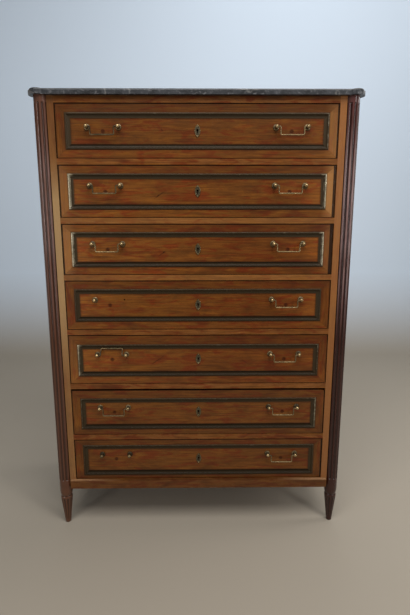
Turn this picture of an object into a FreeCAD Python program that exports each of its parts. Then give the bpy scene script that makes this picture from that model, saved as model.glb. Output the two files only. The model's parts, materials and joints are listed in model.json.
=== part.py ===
import FreeCAD, Part
import os
import re

import Sketcher
from FreeCAD import Placement, Rotation, Vector

# A tall chest of seven long drawers under a marble slab.  Two fluted columns stand in the
# front corners on turned feet.  Each drawer has a moulded brass frame, a lock behind a
# keyhole plate, and bail handles that hinge in knob-headed posts.
#
# Frame: origin on the floor under the middle of the slab, +X to the right as one faces the
# drawers, +Y to the back, +Z up.  All lengths are in millimetres.

os.makedirs("parts", exist_ok=True)
doc = FreeCAD.newDocument("SevenDrawerChest")

# ---------------------------------------------------------------------------------------
# Sizes: one plain number each, with the name that every feature below uses
# ---------------------------------------------------------------------------------------

SIZES = [
    # slab
    ("slab_depth", 480, "front of the corner ears to the back edge"),
    ("slab_fascia", 12, "upright lower band of the edge"),
    ("slab_crown", 8, "rounded upper band of the edge"),
    ("slab_step", 3, "set-back of the crown on the fascia"),
    ("slab_round", 6, "radius of the crown"),
    ("ear_radius", 30, "round ears over the columns"),
    ("ear_out", 8, "ear centre outward of the column axis"),
    ("ear_fore", 5, "ear centre in front of the column axis"),
    ("ear_proud", 8, "ears stand out from the straight edges"),
    # case front
    ("opening_width", 960, "clear width between the front posts"),
    ("stile_width", 20, "face of a post beside its column"),
    ("post_depth", 60, "front post and rails, front to back"),
    ("rail_height", 20, "rail between two drawers"),
    ("top_rail_height", 22.5, "rail under the slab"),
    ("base_rail_height", 33.5, "rail under the lowest drawer"),
    ("base_rail_proud", 12, "its face stands out from the drawers"),
    ("base_rail_lap", 26, "its face ends this far inward of the column axis"),
    ("leg_height", 157, "floor to the underside of the case"),
    # columns and feet
    ("column_radius", 24, "shaft"),
    ("column_set", 12, "column axis behind the case front"),
    ("column_drop", 12, "column runs below the case"),
    ("column_clear", 0.3, "joint between column and post"),
    ("flute_radius", 5, "flute cutter"),
    ("flute_depth", 3, "flute depth"),
    ("flute_step", 36, "degrees between flutes"),
    ("flute_head", 21, "plain length above the flutes"),
    ("flute_heel", 42, "plain length below the flutes"),
    ("toe_radius", 11, "foot at the end of its taper"),
    ("toe_height", 9, "rounded toe"),
    ("flare_height", 25, "flare between the pinch and the column"),
    ("pinch_radius", 20, "narrow place between column and foot"),
    ("shoulder_radius", 22.5, "foot at its widest"),
    ("shoulder_drop", 8, "widest place below the pinch"),
    ("foot_flute_head", 6, "end of a flute's centre line below the shoulder"),
    ("foot_flute_heel", 6, "end of a flute's centre line above the toe"),
    ("foot_flute_wide", 4.2, "foot flute cutter at its upper end"),
    ("foot_flute_narrow", 2.3, "foot flute cutter at its lower end"),
    ("foot_flute_deep", 2.6, "foot flute depth at its upper end"),
    ("foot_flute_shallow", 1.4, "foot flute depth at its lower end"),
    # sides, back and inner frame
    ("side_reach", 15, "side face outward of the column axis"),
    ("side_thick", 20, "side board"),
    ("side_border", 60, "flat border round the sunk field of a side"),
    ("side_field_depth", 5, "how deep the field is sunk"),
    ("rear_post", 40, "square rear post"),
    ("rear_toe", 26, "rear foot at the floor"),
    ("rear_taper", 130, "height of the rear foot's taper"),
    ("back_inset", 2, "back of the case in from the slab edge"),
    ("back_thick", 12, "back boards"),
    ("top_board", 14, "board under the slab"),
    ("base_board", 12, "board under the lowest drawer"),
    ("runner_width", 40, "runner under a drawer side"),
    ("runner_height", 18, "runner"),
    ("runner_clear", 0.3, "drawer side above its runner"),
    ("guide_height", 22, "guide strip beside a drawer"),
    ("guide_clear", 0.8, "guide strip to drawer side"),
    # drawer fronts, top to bottom
    ("front_height_1", 174, ""),
    ("front_height_2", 174, ""),
    ("front_height_3", 176, ""),
    ("front_height_4", 177, ""),
    ("front_height_5", 185, ""),
    ("front_height_6", 177, ""),
    ("front_height_7", 162, ""),
    ("gap_over", 2.5, "over each drawer front"),
    ("gap_under", 1.5, "under each drawer front"),
    ("gap_side", 3, "at each end of a drawer front"),
    ("worn_gap", 4, "drawer 6 is this much lower in its opening"),
    ("chip_length", 34, "chip in the top right corner of drawer 6"),
    ("chip_height", 3.5, "depth of the chip"),
    ("front_set", 1, "drawer front behind the case front"),
    ("front_thick", 22, "drawer front board"),
    ("frame_height_1", 118, "moulding, top to bottom"),
    ("frame_height_2", 120, ""),
    ("frame_height_3", 122, ""),
    ("frame_height_4", 119, ""),
    ("frame_height_5", 122, ""),
    ("frame_height_6", 123, ""),
    ("frame_height_7", 125, ""),
    ("frame_drop_5", 3, "moulding lower than the middle of its drawer front"),
    ("frame_drop_6", 5, "the same on drawer 6"),
    ("frame_drop_7", 3, "the same on drawer 7"),
    ("border_width", 31, "flat border at the ends of the panel"),
    ("panel_sink", 4, "panel behind its border"),
    # moulding round each panel
    ("frame_width", 17, "moulding"),
    ("bead_height", 6.4, "bead above the panel"),
    ("bead_width", 6, "bead"),
    ("cove_height", 4.2, "cove at the bead, above the panel"),
    ("lip_height", 0.9, "inner lip above the panel"),
    ("lip_width", 1.6, "inner lip"),
    # drawer box
    ("side_board", 12, "drawer side"),
    ("side_low", 10, "drawer side lower than its front"),
    ("back_board", 10, "drawer back"),
    ("back_room", 10, "drawer back to the back of the case"),
    ("floor_board", 8, "drawer bottom"),
    ("floor_lift", 7, "drawer bottom above the runner edge"),
    ("groove_depth", 5, "grooves for the drawer bottom"),
    ("tail_length", 15, "dovetail into the drawer front"),
    ("tail_wide", 34, "dovetail at its end"),
    ("tail_narrow", 27, "dovetail at its root"),
    # handles
    ("handle_x", 320, "middle of a handle from the middle of the drawer"),
    ("handle_rise", 20, "handle posts above mid height"),
    ("handle_rise_1", 13, "the same on the top drawer"),
    ("post_spread", 106, "between the two posts of a handle"),
    ("knob_radius", 6.5, "round head of a post"),
    ("stem_radius", 3.6, "stem of a post"),
    ("rose_radius", 10, "round foot of a post"),
    ("rose_thick", 3, "its thickness"),
    ("pivot_out", 18, "bail pivot in front of the panel"),
    ("shank_radius", 2.5, "threaded shank through the front"),
    ("shank_clear", 0.1, "shank in its hole"),
    ("nut_width", 12, "square nut"),
    ("nut_thick", 4, "square nut"),
    ("wire_radius", 2.3, "bail wire"),
    ("pin_clear", 0.05, "bail pin in its post"),
    ("bail_span", 79, "between the two arms of a bail"),
    ("bail_drop", 27, "pivot to the bar of a bail"),
    ("bail_bend", 5, "bends of a bail"),
    ("pin_past", 1.5, "bail pin beyond the axis of its post"),
    ("pin_end_clear", 0.4, "end of a pin to the bottom of its hole"),
    ("bail_lean", 30, "degrees past upright of a thrown-up bail"),
    ("plug_radius", 4.5, "old knob hole, plugged"),
    ("plug_sink", 0.6, "plug below the panel"),
    # locks
    ("plate_width", 20, "keyhole plate"),
    ("plate_height", 42, "keyhole plate"),
    ("plate_thick", 1.6, "keyhole plate"),
    ("key_rise", 4, "keyhole above mid height"),
    ("key_radius", 3.2, "round end of a keyhole"),
    ("key_slot", 3, "slot of a keyhole"),
    ("key_drop", 10, "slot below the round end"),
    ("lock_width", 62, "lock case"),
    ("lock_thick", 11, "lock case"),
    ("lock_below", 22, "lock case below its keyhole"),
    ("bolt_width", 30, "lock bolt"),
    ("bolt_thick", 5, "lock bolt"),
    ("bolt_clear", 0.3, "bolt in its case"),
    ("bolt_above_key", 9, "lower end of the bolt above the keyhole"),
    ("strike_room", 2, "mortise wider than the bolt"),
    ("bolt_throw", 7, "how far the bolt rises"),
]

sheet = doc.addObject("Spreadsheet::Sheet", "Sizes")
OWNER = {}
for line, (alias, number, note) in enumerate(SIZES, start=1):
    sheet.set(f"A{line}", alias)
    sheet.set(f"B{line}", str(number))
    sheet.setAlias(f"B{line}", alias)
    sheet.set(f"C{line}", note)
    OWNER[alias] = "Sizes."
doc.recompute()

layout = doc.addObject("App::VarSet", "Layout")


def ex(text):
    """Return an expression with every bare size name pointed at the object that holds it."""
    return re.sub(r"[A-Za-z_]\w*", lambda hit: OWNER.get(hit.group(), "") + hit.group(), str(text))


def place(name, text):
    """Add a worked-out place or length to the layout, bound to the sizes it follows from."""
    layout.addProperty("App::PropertyFloat", name, "Layout")
    layout.setExpression(name, ex(text))
    OWNER[name] = "Layout."


def value(text):
    """Return the present value of an expression as a plain number."""
    return float(sheet.evalExpression(ex(text)))


# ---------------------------------------------------------------------------------------
# Layout: the places that follow from the sizes
# ---------------------------------------------------------------------------------------

DRAWERS = range(1, 8)
LOWERED = 6          # the drawer whose front sits low in a worn opening
LOW_FRAMES = (5, 6, 7)    # drawers whose moulding was fitted below the middle

place("front_y", "-slab_depth/2 + ear_radius + ear_fore - column_set")
place("case_back", "slab_depth/2 - back_inset")
place("half_opening", "opening_width/2")
place("column_x", "opening_width/2 + stile_width + column_radius")
place("column_y", "front_y + column_set")
place("column_z", "leg_height - column_drop")
place("pinch_z", "column_z - flare_height")
place("shoulder_z", "pinch_z - shoulder_drop")
place("foot_flute_high", "shoulder_z - foot_flute_head")
place("foot_flute_low", "toe_height + foot_flute_heel")
place("foot_slope", "(shoulder_radius - toe_radius)/(shoulder_z - toe_height)")
place("foot_reach_high", "toe_radius + foot_slope*(foot_flute_high - toe_height)"
                         " + foot_flute_wide - foot_flute_deep")
place("foot_reach_low", "toe_radius + foot_slope*(foot_flute_low - toe_height)"
                        " + foot_flute_narrow - foot_flute_shallow")
place("side_x", "column_x + side_reach")
place("inner_x", "side_x - side_thick")
place("rear_x", "side_x - rear_post")
place("rear_y", "case_back - rear_post")
place("ear_x", "column_x + ear_out")
place("ear_y", "column_y - ear_fore")
place("edge_x", "ear_x + ear_radius - ear_proud")
place("edge_y", "ear_y - ear_radius + ear_proud")
place("half_front", "half_opening - gap_side")
place("face_y", "front_y + front_set")
place("panel_y", "face_y + panel_sink")
place("board_back", "face_y + front_thick")
place("pivot_y", "panel_y - pivot_out")
place("drawer_end", "case_back - back_thick - back_room")

below = "leg_height + base_rail_height"
for n in reversed(DRAWERS):
    extra = " + worn_gap" if n == LOWERED else ""
    place(f"bottom_{n}", f"{below} + gap_under")
    place(f"top_{n}", f"bottom_{n} + front_height_{n}")
    place(f"middle_{n}", f"bottom_{n} + front_height_{n}/2")
    place(f"ceiling_{n}", f"top_{n} + gap_over{extra}")
    rise = f"handle_rise_{n}" if n == 1 else "handle_rise"
    place(f"pivot_z_{n}", f"middle_{n} + {rise}")
    drop = f"frame_drop_{n}" if n in LOW_FRAMES else "0"
    place(f"frame_low_{n}", f"middle_{n} - frame_height_{n}/2 - {drop}")
    place(f"frame_top_{n}", f"frame_low_{n} + frame_height_{n}")
    below = f"ceiling_{n} + rail_height"
place("case_top", "ceiling_1 + top_rail_height")
place("slab_top", "case_top + slab_fascia + slab_crown")
doc.recompute()

# ---------------------------------------------------------------------------------------
# Small makers, each bound to the sheet
# ---------------------------------------------------------------------------------------

TURNS = {
    "z": Rotation(),
    "-z": Rotation(Vector(1, 0, 0), 180),
    "-y": Rotation(Vector(1, 0, 0), 90),
    "y": Rotation(Vector(1, 0, 0), -90),
    "x": Rotation(Vector(0, 1, 0), 90),
    "-x": Rotation(Vector(0, 1, 0), -90),
}


def bind(thing, at=None, **sizes):
    """Bind properties, and the base point where one is given, to expressions."""
    for name, text in sizes.items():
        thing.setExpression(name, ex(text))
    for axis, text in zip("xyz", at or ()):
        thing.setExpression(f"Placement.Base.{axis}", ex(text))
    return thing


def box(name, x, y, z):
    """A block between the two ends given on each axis."""
    block = doc.addObject("Part::Box", name)
    spans = [f"({high}) - ({low})" for low, high in (x, y, z)]
    return bind(block, (x[0], y[0], z[0]), Length=spans[0], Width=spans[1], Height=spans[2])


def rod(name, radius, length, at, along="z"):
    """A round bar from a point along an axis."""
    bar = doc.addObject("Part::Cylinder", name)
    bar.Placement = Placement(Vector(), TURNS[along])
    return bind(bar, at, Radius=radius, Height=length)


def cone(name, radius, end_radius, length, at, along="z"):
    """A round bar that tapers from its first radius to its second."""
    bar = doc.addObject("Part::Cone", name)
    bar.Placement = Placement(Vector(), TURNS[along])
    return bind(bar, at, Radius1=radius, Radius2=end_radius, Height=length)


def ball(name, radius, at):
    """A sphere."""
    return bind(doc.addObject("Part::Sphere", name), at, Radius=radius)


def ring(name, radius, thickness, at, rotation=Rotation(), angle=360):
    """A torus, or a part of one, round its own Z axis."""
    loop = doc.addObject("Part::Torus", name)
    loop.Placement = Placement(Vector(), rotation)
    loop.Angle3 = angle
    return bind(loop, at, Radius1=radius, Radius2=thickness)


def fuse(name, *pieces):
    """One solid from pieces that touch or overlap."""
    joined = doc.addObject("Part::MultiFuse", name)
    joined.Shapes = list(pieces)
    joined.Refine = True
    return joined


def cut(name, base, *tools):
    """The base less its tools."""
    result = doc.addObject("Part::Cut", name)
    result.Base = base
    if len(tools) > 1:
        both = doc.addObject("Part::Compound", name + "Tools")
        both.Links = list(tools)
        result.Tool = both
    else:
        result.Tool = tools[0]
    return result


def common(name, one, other):
    """What two pieces share."""
    shared = doc.addObject("Part::Common", name)
    shared.Base, shared.Tool = one, other
    return shared


def origin_plane(body, role):
    """The plane of a body's own origin with the given role."""
    return next(item for item in body.Origin.OriginFeatures if item.Role == role)


def outline(body, role, corners, name, closed=True):
    """A sketch of straight runs whose corners are bound to expressions."""
    sketch = body.newObject("Sketcher::SketchObject", name)
    sketch.AttachmentSupport = [(origin_plane(body, role), "")]
    sketch.MapMode = "FlatFace"
    spots = [Vector(value(u), value(v), 0) for u, v in corners]
    ends = spots[1:] + spots[:1] if closed else spots[1:]
    for start, end in zip(spots, ends):
        sketch.addGeometry(Part.LineSegment(start, end), False)
    runs = len(ends)
    for run in range(runs if closed else runs - 1):
        sketch.addConstraint(Sketcher.Constraint("Coincident", run, 2, (run + 1) % runs, 1))
    for spot, (u, v) in enumerate(corners):
        line, end = (spot, 1) if spot < runs else (runs - 1, 2)
        for kind, text in (("DistanceX", u), ("DistanceY", v)):
            mark = sketch.addConstraint(
                Sketcher.Constraint(kind, -1, 1, line, end, value(text)))
            sketch.setExpression(f"Constraints[{mark}]", ex(text))
    return sketch


def rounded(name, maker, radius, at, **sizes):
    """A body from one primitive with its upper edge rounded."""
    body = doc.addObject("PartDesign::Body", name)
    solid = body.newObject(maker, name + "Solid")
    bind(solid, **sizes)
    bind(body, at)
    doc.recompute()
    faces = solid.Shape.Faces
    highest = max(range(len(faces)), key=lambda i: faces[i].CenterOfMass.z)
    edge = body.newObject("PartDesign::Fillet", name + "Round")
    edge.Base = (solid, [f"Face{highest + 1}"])
    bind(edge, Radius=radius)
    body.Tip = edge
    return body


NODES = []


def node(label, *solids):
    """Name a sub-part: one solid, or several that belong together."""
    if len(solids) == 1:
        part = solids[0]
    else:
        part = doc.addObject("Part::Compound", "Node")
        part.Links = list(solids)
    part.Label = label
    NODES.append(part)
    return part


# ---------------------------------------------------------------------------------------
# Marble slab: an upright fascia, a rounded crown set back on it, and an ear on each corner
# ---------------------------------------------------------------------------------------

layers = []
for layer, inset, low, height in (
        ("Fascia", "0", "case_top", "slab_fascia"),
        ("Crown", "slab_step", "case_top + slab_fascia", "slab_crown")):
    back = f"(slab_depth/2 - {inset})"
    plates = (
        ("Middle", "ear_x", f"edge_y + {inset}"),
        ("Flank", f"(edge_x - {inset})", "ear_y"),
    )
    for plate, half, start in plates:
        name = layer + plate
        sizes = dict(Length=f"2*{half}", Width=f"{back} - ({start})", Height=height)
        if layer == "Fascia":
            slab = bind(doc.addObject("Part::Box", name), (f"-{half}", start, low), **sizes)
        else:
            slab = rounded(name, "PartDesign::AdditiveBox", "slab_round",
                           (f"-{half}", start, low), **sizes)
        layers.append(slab)
    for side, sign in (("Left", "-"), ("Right", "")):
        name = layer + "Ear" + side
        at = (f"{sign}ear_x", "ear_y", low)
        sizes = dict(Radius=f"ear_radius - {inset}", Height=height)
        if layer == "Fascia":
            ear = bind(doc.addObject("Part::Cylinder", name), at, **sizes)
        else:
            ear = rounded(name, "PartDesign::AdditiveCylinder", "slab_round", at, **sizes)
        layers.append(ear)
node("marble_top", fuse("Slab", *layers))

# ---------------------------------------------------------------------------------------
# Columns: a round shaft, fluted on the three quarters that show
# ---------------------------------------------------------------------------------------

FLUTES = range(-3, 4)     # counted from the flute that faces the corner's diagonal

for side, sign, diagonal in (("left", "-", 225), ("right", "", 315)):
    shaft = rod("Shaft_" + side, "column_radius", "case_top - column_z",
                (f"{sign}column_x", "column_y", "column_z"))
    flutes = []
    for k in FLUTES:
        angle = f"({diagonal} + {k}*flute_step)"
        reach = "(column_radius + flute_radius - flute_depth)"
        x = f"{sign}column_x + {reach}*cos({angle}*1deg)"
        y = f"column_y + {reach}*sin({angle}*1deg)"
        low = "column_z + flute_heel + flute_radius"
        high = "case_top - flute_head - flute_radius"
        name = f"Flute_{side}_{k + 3}"
        flutes += [
            rod(name, "flute_radius", f"({high}) - ({low})", (x, y, low)),
            ball(name + "Heel", "flute_radius", (x, y, low)),
            ball(name + "Head", "flute_radius", (x, y, high)),
        ]
    node("column_" + side, cut("Column_" + side, shaft, *flutes))

# ---------------------------------------------------------------------------------------
# Front feet: toe, fluted taper, shoulder, pinch, and a flare up to the column
# ---------------------------------------------------------------------------------------

feet = []
for side, sign, diagonal in (("Left", "-", 225), ("Right", "", 315)):
    body = doc.addObject("PartDesign::Body", "Foot" + side)
    flared = "(column_radius - pinch_radius)"
    turned = [
        ("0", "0"),
        ("toe_radius*0.84", "0"),
        ("toe_radius*0.95", "toe_height*0.15"),
        ("toe_radius", "toe_height*0.5"),
        ("toe_radius", "toe_height"),
        ("shoulder_radius", "shoulder_z"),
        ("shoulder_radius", "shoulder_z + shoulder_drop*0.3"),
        ("shoulder_radius*0.985", "shoulder_z + shoulder_drop*0.6"),
        ("shoulder_radius*0.94", "shoulder_z + shoulder_drop*0.88"),
        ("pinch_radius", "pinch_z"),
        (f"pinch_radius + {flared}*0.62", "pinch_z + flare_height*0.3"),
        (f"pinch_radius + {flared}*0.92", "pinch_z + flare_height*0.65"),
        ("column_radius", "column_z"),
        ("0", "column_z"),
    ]
    profile = outline(body, "XZ_Plane", turned, "FootProfile" + side)
    foot = body.newObject("PartDesign::Revolution", "FootTurned" + side)
    foot.Profile = profile
    foot.ReferenceAxis = (profile, ["V_Axis"])
    foot.Angle = 360
    body.Tip = foot
    bind(body, (f"{sign}column_x", "column_y", "0"))
    flutes = []
    rise, lean = "(foot_flute_high - foot_flute_low)", "(foot_reach_high - foot_reach_low)"
    for k in range(10):
        angle = f"({diagonal} + {k}*flute_step)*1deg"
        low, high = ((f"{sign}column_x + {reach}*cos({angle})",
                      f"column_y + {reach}*sin({angle})", z)
                     for reach, z in (("foot_reach_low", "foot_flute_low"),
                                      ("foot_reach_high", "foot_flute_high")))
        name = f"FootFlute{side}{k}"
        groove = doc.addObject("Part::Cone", name)
        bind(groove, Radius1="foot_flute_narrow", Radius2="foot_flute_wide",
             Height=f"sqrt({rise}^2 + {lean}^2)",
             Placement=f"placement(vector({low[0]}; {low[1]}; {low[2]});"
                       f" rotation(vector(0; 0; 1); {angle})"
                       f" * rotation(vector(0; 1; 0); atan({lean}/{rise})))")
        flutes += [groove, ball(name + "Heel", "foot_flute_narrow", low),
                   ball(name + "Head", "foot_flute_wide", high)]
    feet.append(cut("FootFluted" + side, body, *flutes))
node("front_feet", *feet)

# ---------------------------------------------------------------------------------------
# Front posts: the stile beside each column, hollowed at the corner to seat the column
# ---------------------------------------------------------------------------------------

posts = []
for side, sign in (("Left", -1), ("Right", 1)):
    ends = ("half_opening", "side_x") if sign > 0 else ("-side_x", "-half_opening")
    block = box("PostBlock" + side, ends, ("front_y", "front_y + post_depth"),
                ("leg_height", "case_top"))
    seat = rod("PostSeat" + side, "column_radius + column_clear", "case_top",
               (f"{sign}*column_x", "column_y", "leg_height/2"))
    posts.append(cut("Post" + side, block, seat))
node("front_posts", *posts)

# ---------------------------------------------------------------------------------------
# Rails: one under the slab, six between drawers and a deeper, prouder one at the base,
# each with a mortise above its drawer's bolt
# ---------------------------------------------------------------------------------------

rails = []
across = ("-half_opening", "half_opening")
through = ("front_y", "front_y + post_depth")
place("bolt_y", "board_back - lock_thick/2")
for n in DRAWERS:
    height = "top_rail_height" if n == 1 else "rail_height"
    rail = box(f"Rail{n}", across, through, (f"ceiling_{n}", f"ceiling_{n} + {height}"))
    half = "(bolt_width/2 + strike_room)"
    deep = "(bolt_thick/2 + strike_room)"
    strike = box(f"Strike{n}", (f"-{half}", half), (f"bolt_y - {deep}", f"bolt_y + {deep}"),
                 (f"ceiling_{n} - strike_room", f"top_{n} + bolt_throw + strike_room"))
    rails.append(cut(f"RailMortised{n}", rail, strike))
base = ("leg_height", "leg_height + base_rail_height")
base_face = cut(
    "BaseRailFace",
    box("BaseRailStrip", ("base_rail_lap - column_x", "column_x - base_rail_lap"),
        ("front_y - base_rail_proud", "front_y"), base),
    *[rod("BaseRailNotch" + side, "column_radius + column_clear", "case_top",
          (f"{sign}column_x", "column_y", "leg_height/2"))
      for side, sign in (("Left", "-"), ("Right", ""))])
rails.append(fuse("BaseRail", box("BaseRailBack", across, through, base), base_face))
node("front_rails", *rails)

# ---------------------------------------------------------------------------------------
# Sides, rear posts, back boards, top and base boards
# ---------------------------------------------------------------------------------------

for side, sign in (("left", -1), ("right", 1)):
    span = ("inner_x", "side_x") if sign > 0 else ("-side_x", "-inner_x")
    sunk = (("side_x - side_field_depth", "side_x + 1") if sign > 0
            else ("-side_x - 1", "-side_x + side_field_depth"))
    board = box("SideBoard_" + side, span, ("front_y + post_depth", "rear_y"),
                ("leg_height", "case_top"))
    field = box("SideField_" + side, sunk,
                ("front_y + post_depth + side_border", "rear_y - side_border"),
                ("leg_height + side_border", "case_top - side_border"))
    node("side_" + side, cut("Side_" + side, board, field))

rear_posts = []
for side, sign in (("Left", -1), ("Right", 1)):
    span = ("rear_x", "side_x") if sign > 0 else ("-side_x", "-rear_x")
    post = box("RearPostBlock" + side, span, ("rear_y", "case_back"), ("rear_taper", "case_top"))
    toe = doc.addObject("Part::Wedge", "RearFoot" + side)
    toe.Placement = Placement(Vector(), TURNS["y"])
    margin = "(rear_post - rear_toe)/2"
    bind(toe, (span[0], "rear_y", "rear_taper"),
         Xmin="0", Xmax="rear_post", Zmin="0", Zmax="rear_post", Ymin="0", Ymax="rear_taper",
         X2min=margin, X2max=f"rear_post - {margin}", Z2min=margin, Z2max=f"rear_post - {margin}")
    rear_posts.append(fuse("RearPost" + side, post, toe))
node("rear_posts", *rear_posts)

BACK_BOARDS = 3
boards = []
for k in range(BACK_BOARDS):
    edge = f"(-rear_x + 2*rear_x*{k}/{BACK_BOARDS})"
    next_edge = f"(-rear_x + 2*rear_x*{k + 1}/{BACK_BOARDS})"
    boards.append(box(f"BackBoard{k + 1}", (edge, next_edge), ("case_back - back_thick", "case_back"),
                      ("leg_height", "case_top")))
node("back_boards", *boards)

inside = ("front_y + post_depth", "case_back - back_thick")
node("top_board", box("TopBoard", across, inside, ("case_top - top_board", "case_top")))
node("base_board", box("BaseBoard", across, inside, ("leg_height", "leg_height + base_board")))

# ---------------------------------------------------------------------------------------
# Runners and guides: a pair under and beside every drawer
# ---------------------------------------------------------------------------------------

runners = []
length = ("front_y + post_depth", "rear_y")
for n in DRAWERS:
    high = f"(bottom_{n} - runner_clear)"
    for side, sign in (("Left", -1), ("Right", 1)):
        under = ("half_opening - runner_width", "inner_x")
        beside = ("half_front + guide_clear", "inner_x")
        if sign < 0:
            under = ("-inner_x", "-half_opening + runner_width")
            beside = ("-inner_x", "-half_front - guide_clear")
        runners.append(box(f"Runner{n}{side}", under, length, (f"{high} - runner_height", high)))
        runners.append(box(f"Guide{n}{side}", beside, length, (high, f"{high} + guide_height")))
node("drawer_runners", *runners)

# ---------------------------------------------------------------------------------------
# Drawers
# ---------------------------------------------------------------------------------------

# Which handles still have what: the posts present (left, right) and the state of the bail
WHOLE = ("left", "right")
HANDLES = {(n, side): (WHOLE, "hanging") for n in DRAWERS for side in WHOLE}
HANDLES[4, "left"] = (("left",), "lost")
HANDLES[5, "left"] = (WHOLE, "thrown up")
HANDLES[7, "left"] = (WHOLE, "lost")

TAILS = 3


def keyhole(name, n, start, end):
    """A keyhole-shaped tool from one depth to another: a round end over a slot."""
    centre = f"middle_{n} + key_rise"
    return fuse(
        name,
        rod(name + "Round", "key_radius", f"({end}) - ({start})", ("0", start, centre), "y"),
        box(name + "Slot", ("-key_slot/2", "key_slot/2"), (start, end),
            (f"{centre} - key_drop", centre)))


def dovetail(name, n, sign, k):
    """A tail of a drawer side, widest at its end inside the drawer front."""
    tail = doc.addObject("Part::Wedge", name)
    pitch = f"((front_height_{n} - side_low)/{TAILS})"
    middle = f"bottom_{n} + {pitch}*({k} + 0.5)"
    spread = "(tail_wide - tail_narrow)/2"
    low_x = "half_front - side_board" if sign > 0 else "-half_front"
    return bind(tail, (low_x, "board_back - tail_length", f"{middle} - tail_wide/2"),
                Xmin="0", Xmax="side_board", X2min="0", X2max="side_board",
                Zmin="0", Zmax="tail_wide", Z2min=spread, Z2max=f"tail_wide - {spread}",
                Ymin="0", Ymax="tail_length")


def border_strip(name, n, edge):
    """A flat strip on one edge of a front board, mitred to its neighbours at both ends."""
    outward, base = {
        "top": (Vector(0, 0, -1), ("0", "face_y", f"top_{n}")),
        "bottom": (Vector(0, 0, 1), ("0", "panel_y", f"bottom_{n}")),
        "left": (Vector(1, 0, 0), ("-half_front", "face_y", "0")),
        "right": (Vector(-1, 0, 0), ("half_front", "panel_y", "0")),
    }[edge]
    along = Vector(1, 0, 0) if edge in ("top", "bottom") else Vector(0, 0, 1)
    strip = doc.addObject("Part::Wedge", name)
    strip.Placement = Placement(Vector(), Rotation(along, outward, along.cross(outward), "XYZ"))
    if edge in ("top", "bottom"):
        ends = ("-half_front", "half_front")
        inner_ends = ("-half_front + border_width", "half_front - border_width")
        wide = f"top_{n} - frame_top_{n}" if edge == "top" else f"frame_low_{n} - bottom_{n}"
    else:
        ends = (f"bottom_{n}", f"top_{n}")
        inner_ends = (f"frame_low_{n}", f"frame_top_{n}")
        wide = "border_width"
    return bind(strip, base, Xmin=ends[0], Xmax=ends[1], X2min=inner_ends[0],
                X2max=inner_ends[1], Ymin="0", Ymax=wide,
                Zmin="0", Zmax="panel_sink", Z2min="0", Z2max="panel_sink")


def drawer_front(n):
    """A board worked for everything that it carries, its mitred border and its two plugs."""
    board = box(f"Front{n}", ("-half_front", "half_front"), ("panel_y", "board_back"),
                (f"bottom_{n}", f"top_{n}"))
    strips = {edge: border_strip(f"Border{n}{edge}", n, edge)
              for edge in ("top", "bottom", "left", "right")}
    tools = [
        box(f"LockSeat{n}", ("-lock_width/2", "lock_width/2"),
            ("board_back - lock_thick", "board_back + 1"),
            (f"middle_{n} + key_rise - lock_below", f"top_{n} + 1")),
        box(f"FloorSeat{n}", ("-half_front + side_board - groove_depth",
                              "half_front - side_board + groove_depth"),
            ("board_back - groove_depth", "board_back + 1"),
            (f"bottom_{n} + floor_lift", f"bottom_{n} + floor_lift + floor_board")),
        keyhole(f"KeyBoard{n}", n, "panel_y - 1", "board_back"),
    ]
    for sign in (-1, 1):
        for k in range(TAILS):
            tools.append(dovetail(f"Socket{n}_{sign + 1}_{k}", n, sign, k))
    plugs = []
    for side, sign in (("left", "-"), ("right", "")):
        for arm, shift in (("left", "-"), ("right", "+")):
            tools.append(rod(f"ShankHole{n}{side}{arm}", "shank_radius + shank_clear",
                             "front_thick + 2",
                             (f"{sign}handle_x {shift} post_spread/2", "face_y - 1",
                              f"pivot_z_{n}"), "y"))
        spot = (f"{sign}handle_x", "panel_y - 1", f"middle_{n}")
        tools.append(rod(f"PlugHole{n}{side}", "plug_radius", "front_thick", spot, "y"))
        plugs.append(rod(f"Plug{n}{side}", "plug_radius", "board_back - panel_y - plug_sink",
                         (f"{sign}handle_x", "panel_y + plug_sink", f"middle_{n}"), "y"))
    if n == LOWERED:
        chip = doc.addObject("Part::Wedge", "Chip")
        chip.Placement = Placement(
            Vector(), Rotation(Vector(0, 0, 1), Vector(1, 0, 0), Vector(0, 1, 0), "XYZ"))
        bind(chip, ("half_front - chip_length", "face_y - 1", f"top_{n}"),
             Xmin="0", Xmax="1", X2min="-chip_height", X2max="1",
             Ymin="0", Ymax="chip_length", Zmin="0", Zmax="front_thick + 2",
             Z2min="0", Z2max="front_thick + 2")
        tools.append(chip)
        for edge in ("top", "right"):
            strips[edge] = cut(f"Border{n}{edge}Chipped", strips[edge], chip)
    node(f"drawer_{n}_front", cut(f"FrontWorked{n}", board, *tools), *strips.values(), *plugs)


def drawer_box(n):
    """Two sides with tails and grooves, a back that stands on the bottom, and the bottom."""
    floor = (f"bottom_{n} + floor_lift", f"bottom_{n} + floor_lift + floor_board")
    inner = "half_front - side_board"
    solids = []
    for side, sign in (("Left", -1), ("Right", 1)):
        span = (inner, "half_front") if sign > 0 else ("-half_front", f"-({inner})")
        groove = ((f"{inner} - 1", f"{inner} + groove_depth") if sign > 0
                  else (f"-({inner}) - groove_depth", f"-({inner}) + 1"))
        board = box(f"Side{n}{side}Board", span, ("board_back", "drawer_end"),
                    (f"bottom_{n}", f"top_{n} - side_low"))
        tails = [dovetail(f"Tail{n}{side}{k}", n, sign, k) for k in range(TAILS)]
        whole = fuse(f"Side{n}{side}Tailed", board, *tails)
        slot = box(f"Groove{n}{side}", groove, ("board_back - groove_depth", "drawer_end + 1"), floor)
        solids.append(cut(f"Side{n}{side}", whole, slot))
    solids.append(box(f"Back{n}", (f"-({inner})", inner), ("drawer_end - back_board", "drawer_end"),
                      (floor[1], f"top_{n} - side_low")))
    solids.append(box(f"Floor{n}", (f"-({inner}) - groove_depth", f"{inner} + groove_depth"),
                      ("board_back - groove_depth", "drawer_end"), floor))
    node(f"drawer_{n}_box", *solids)


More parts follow.
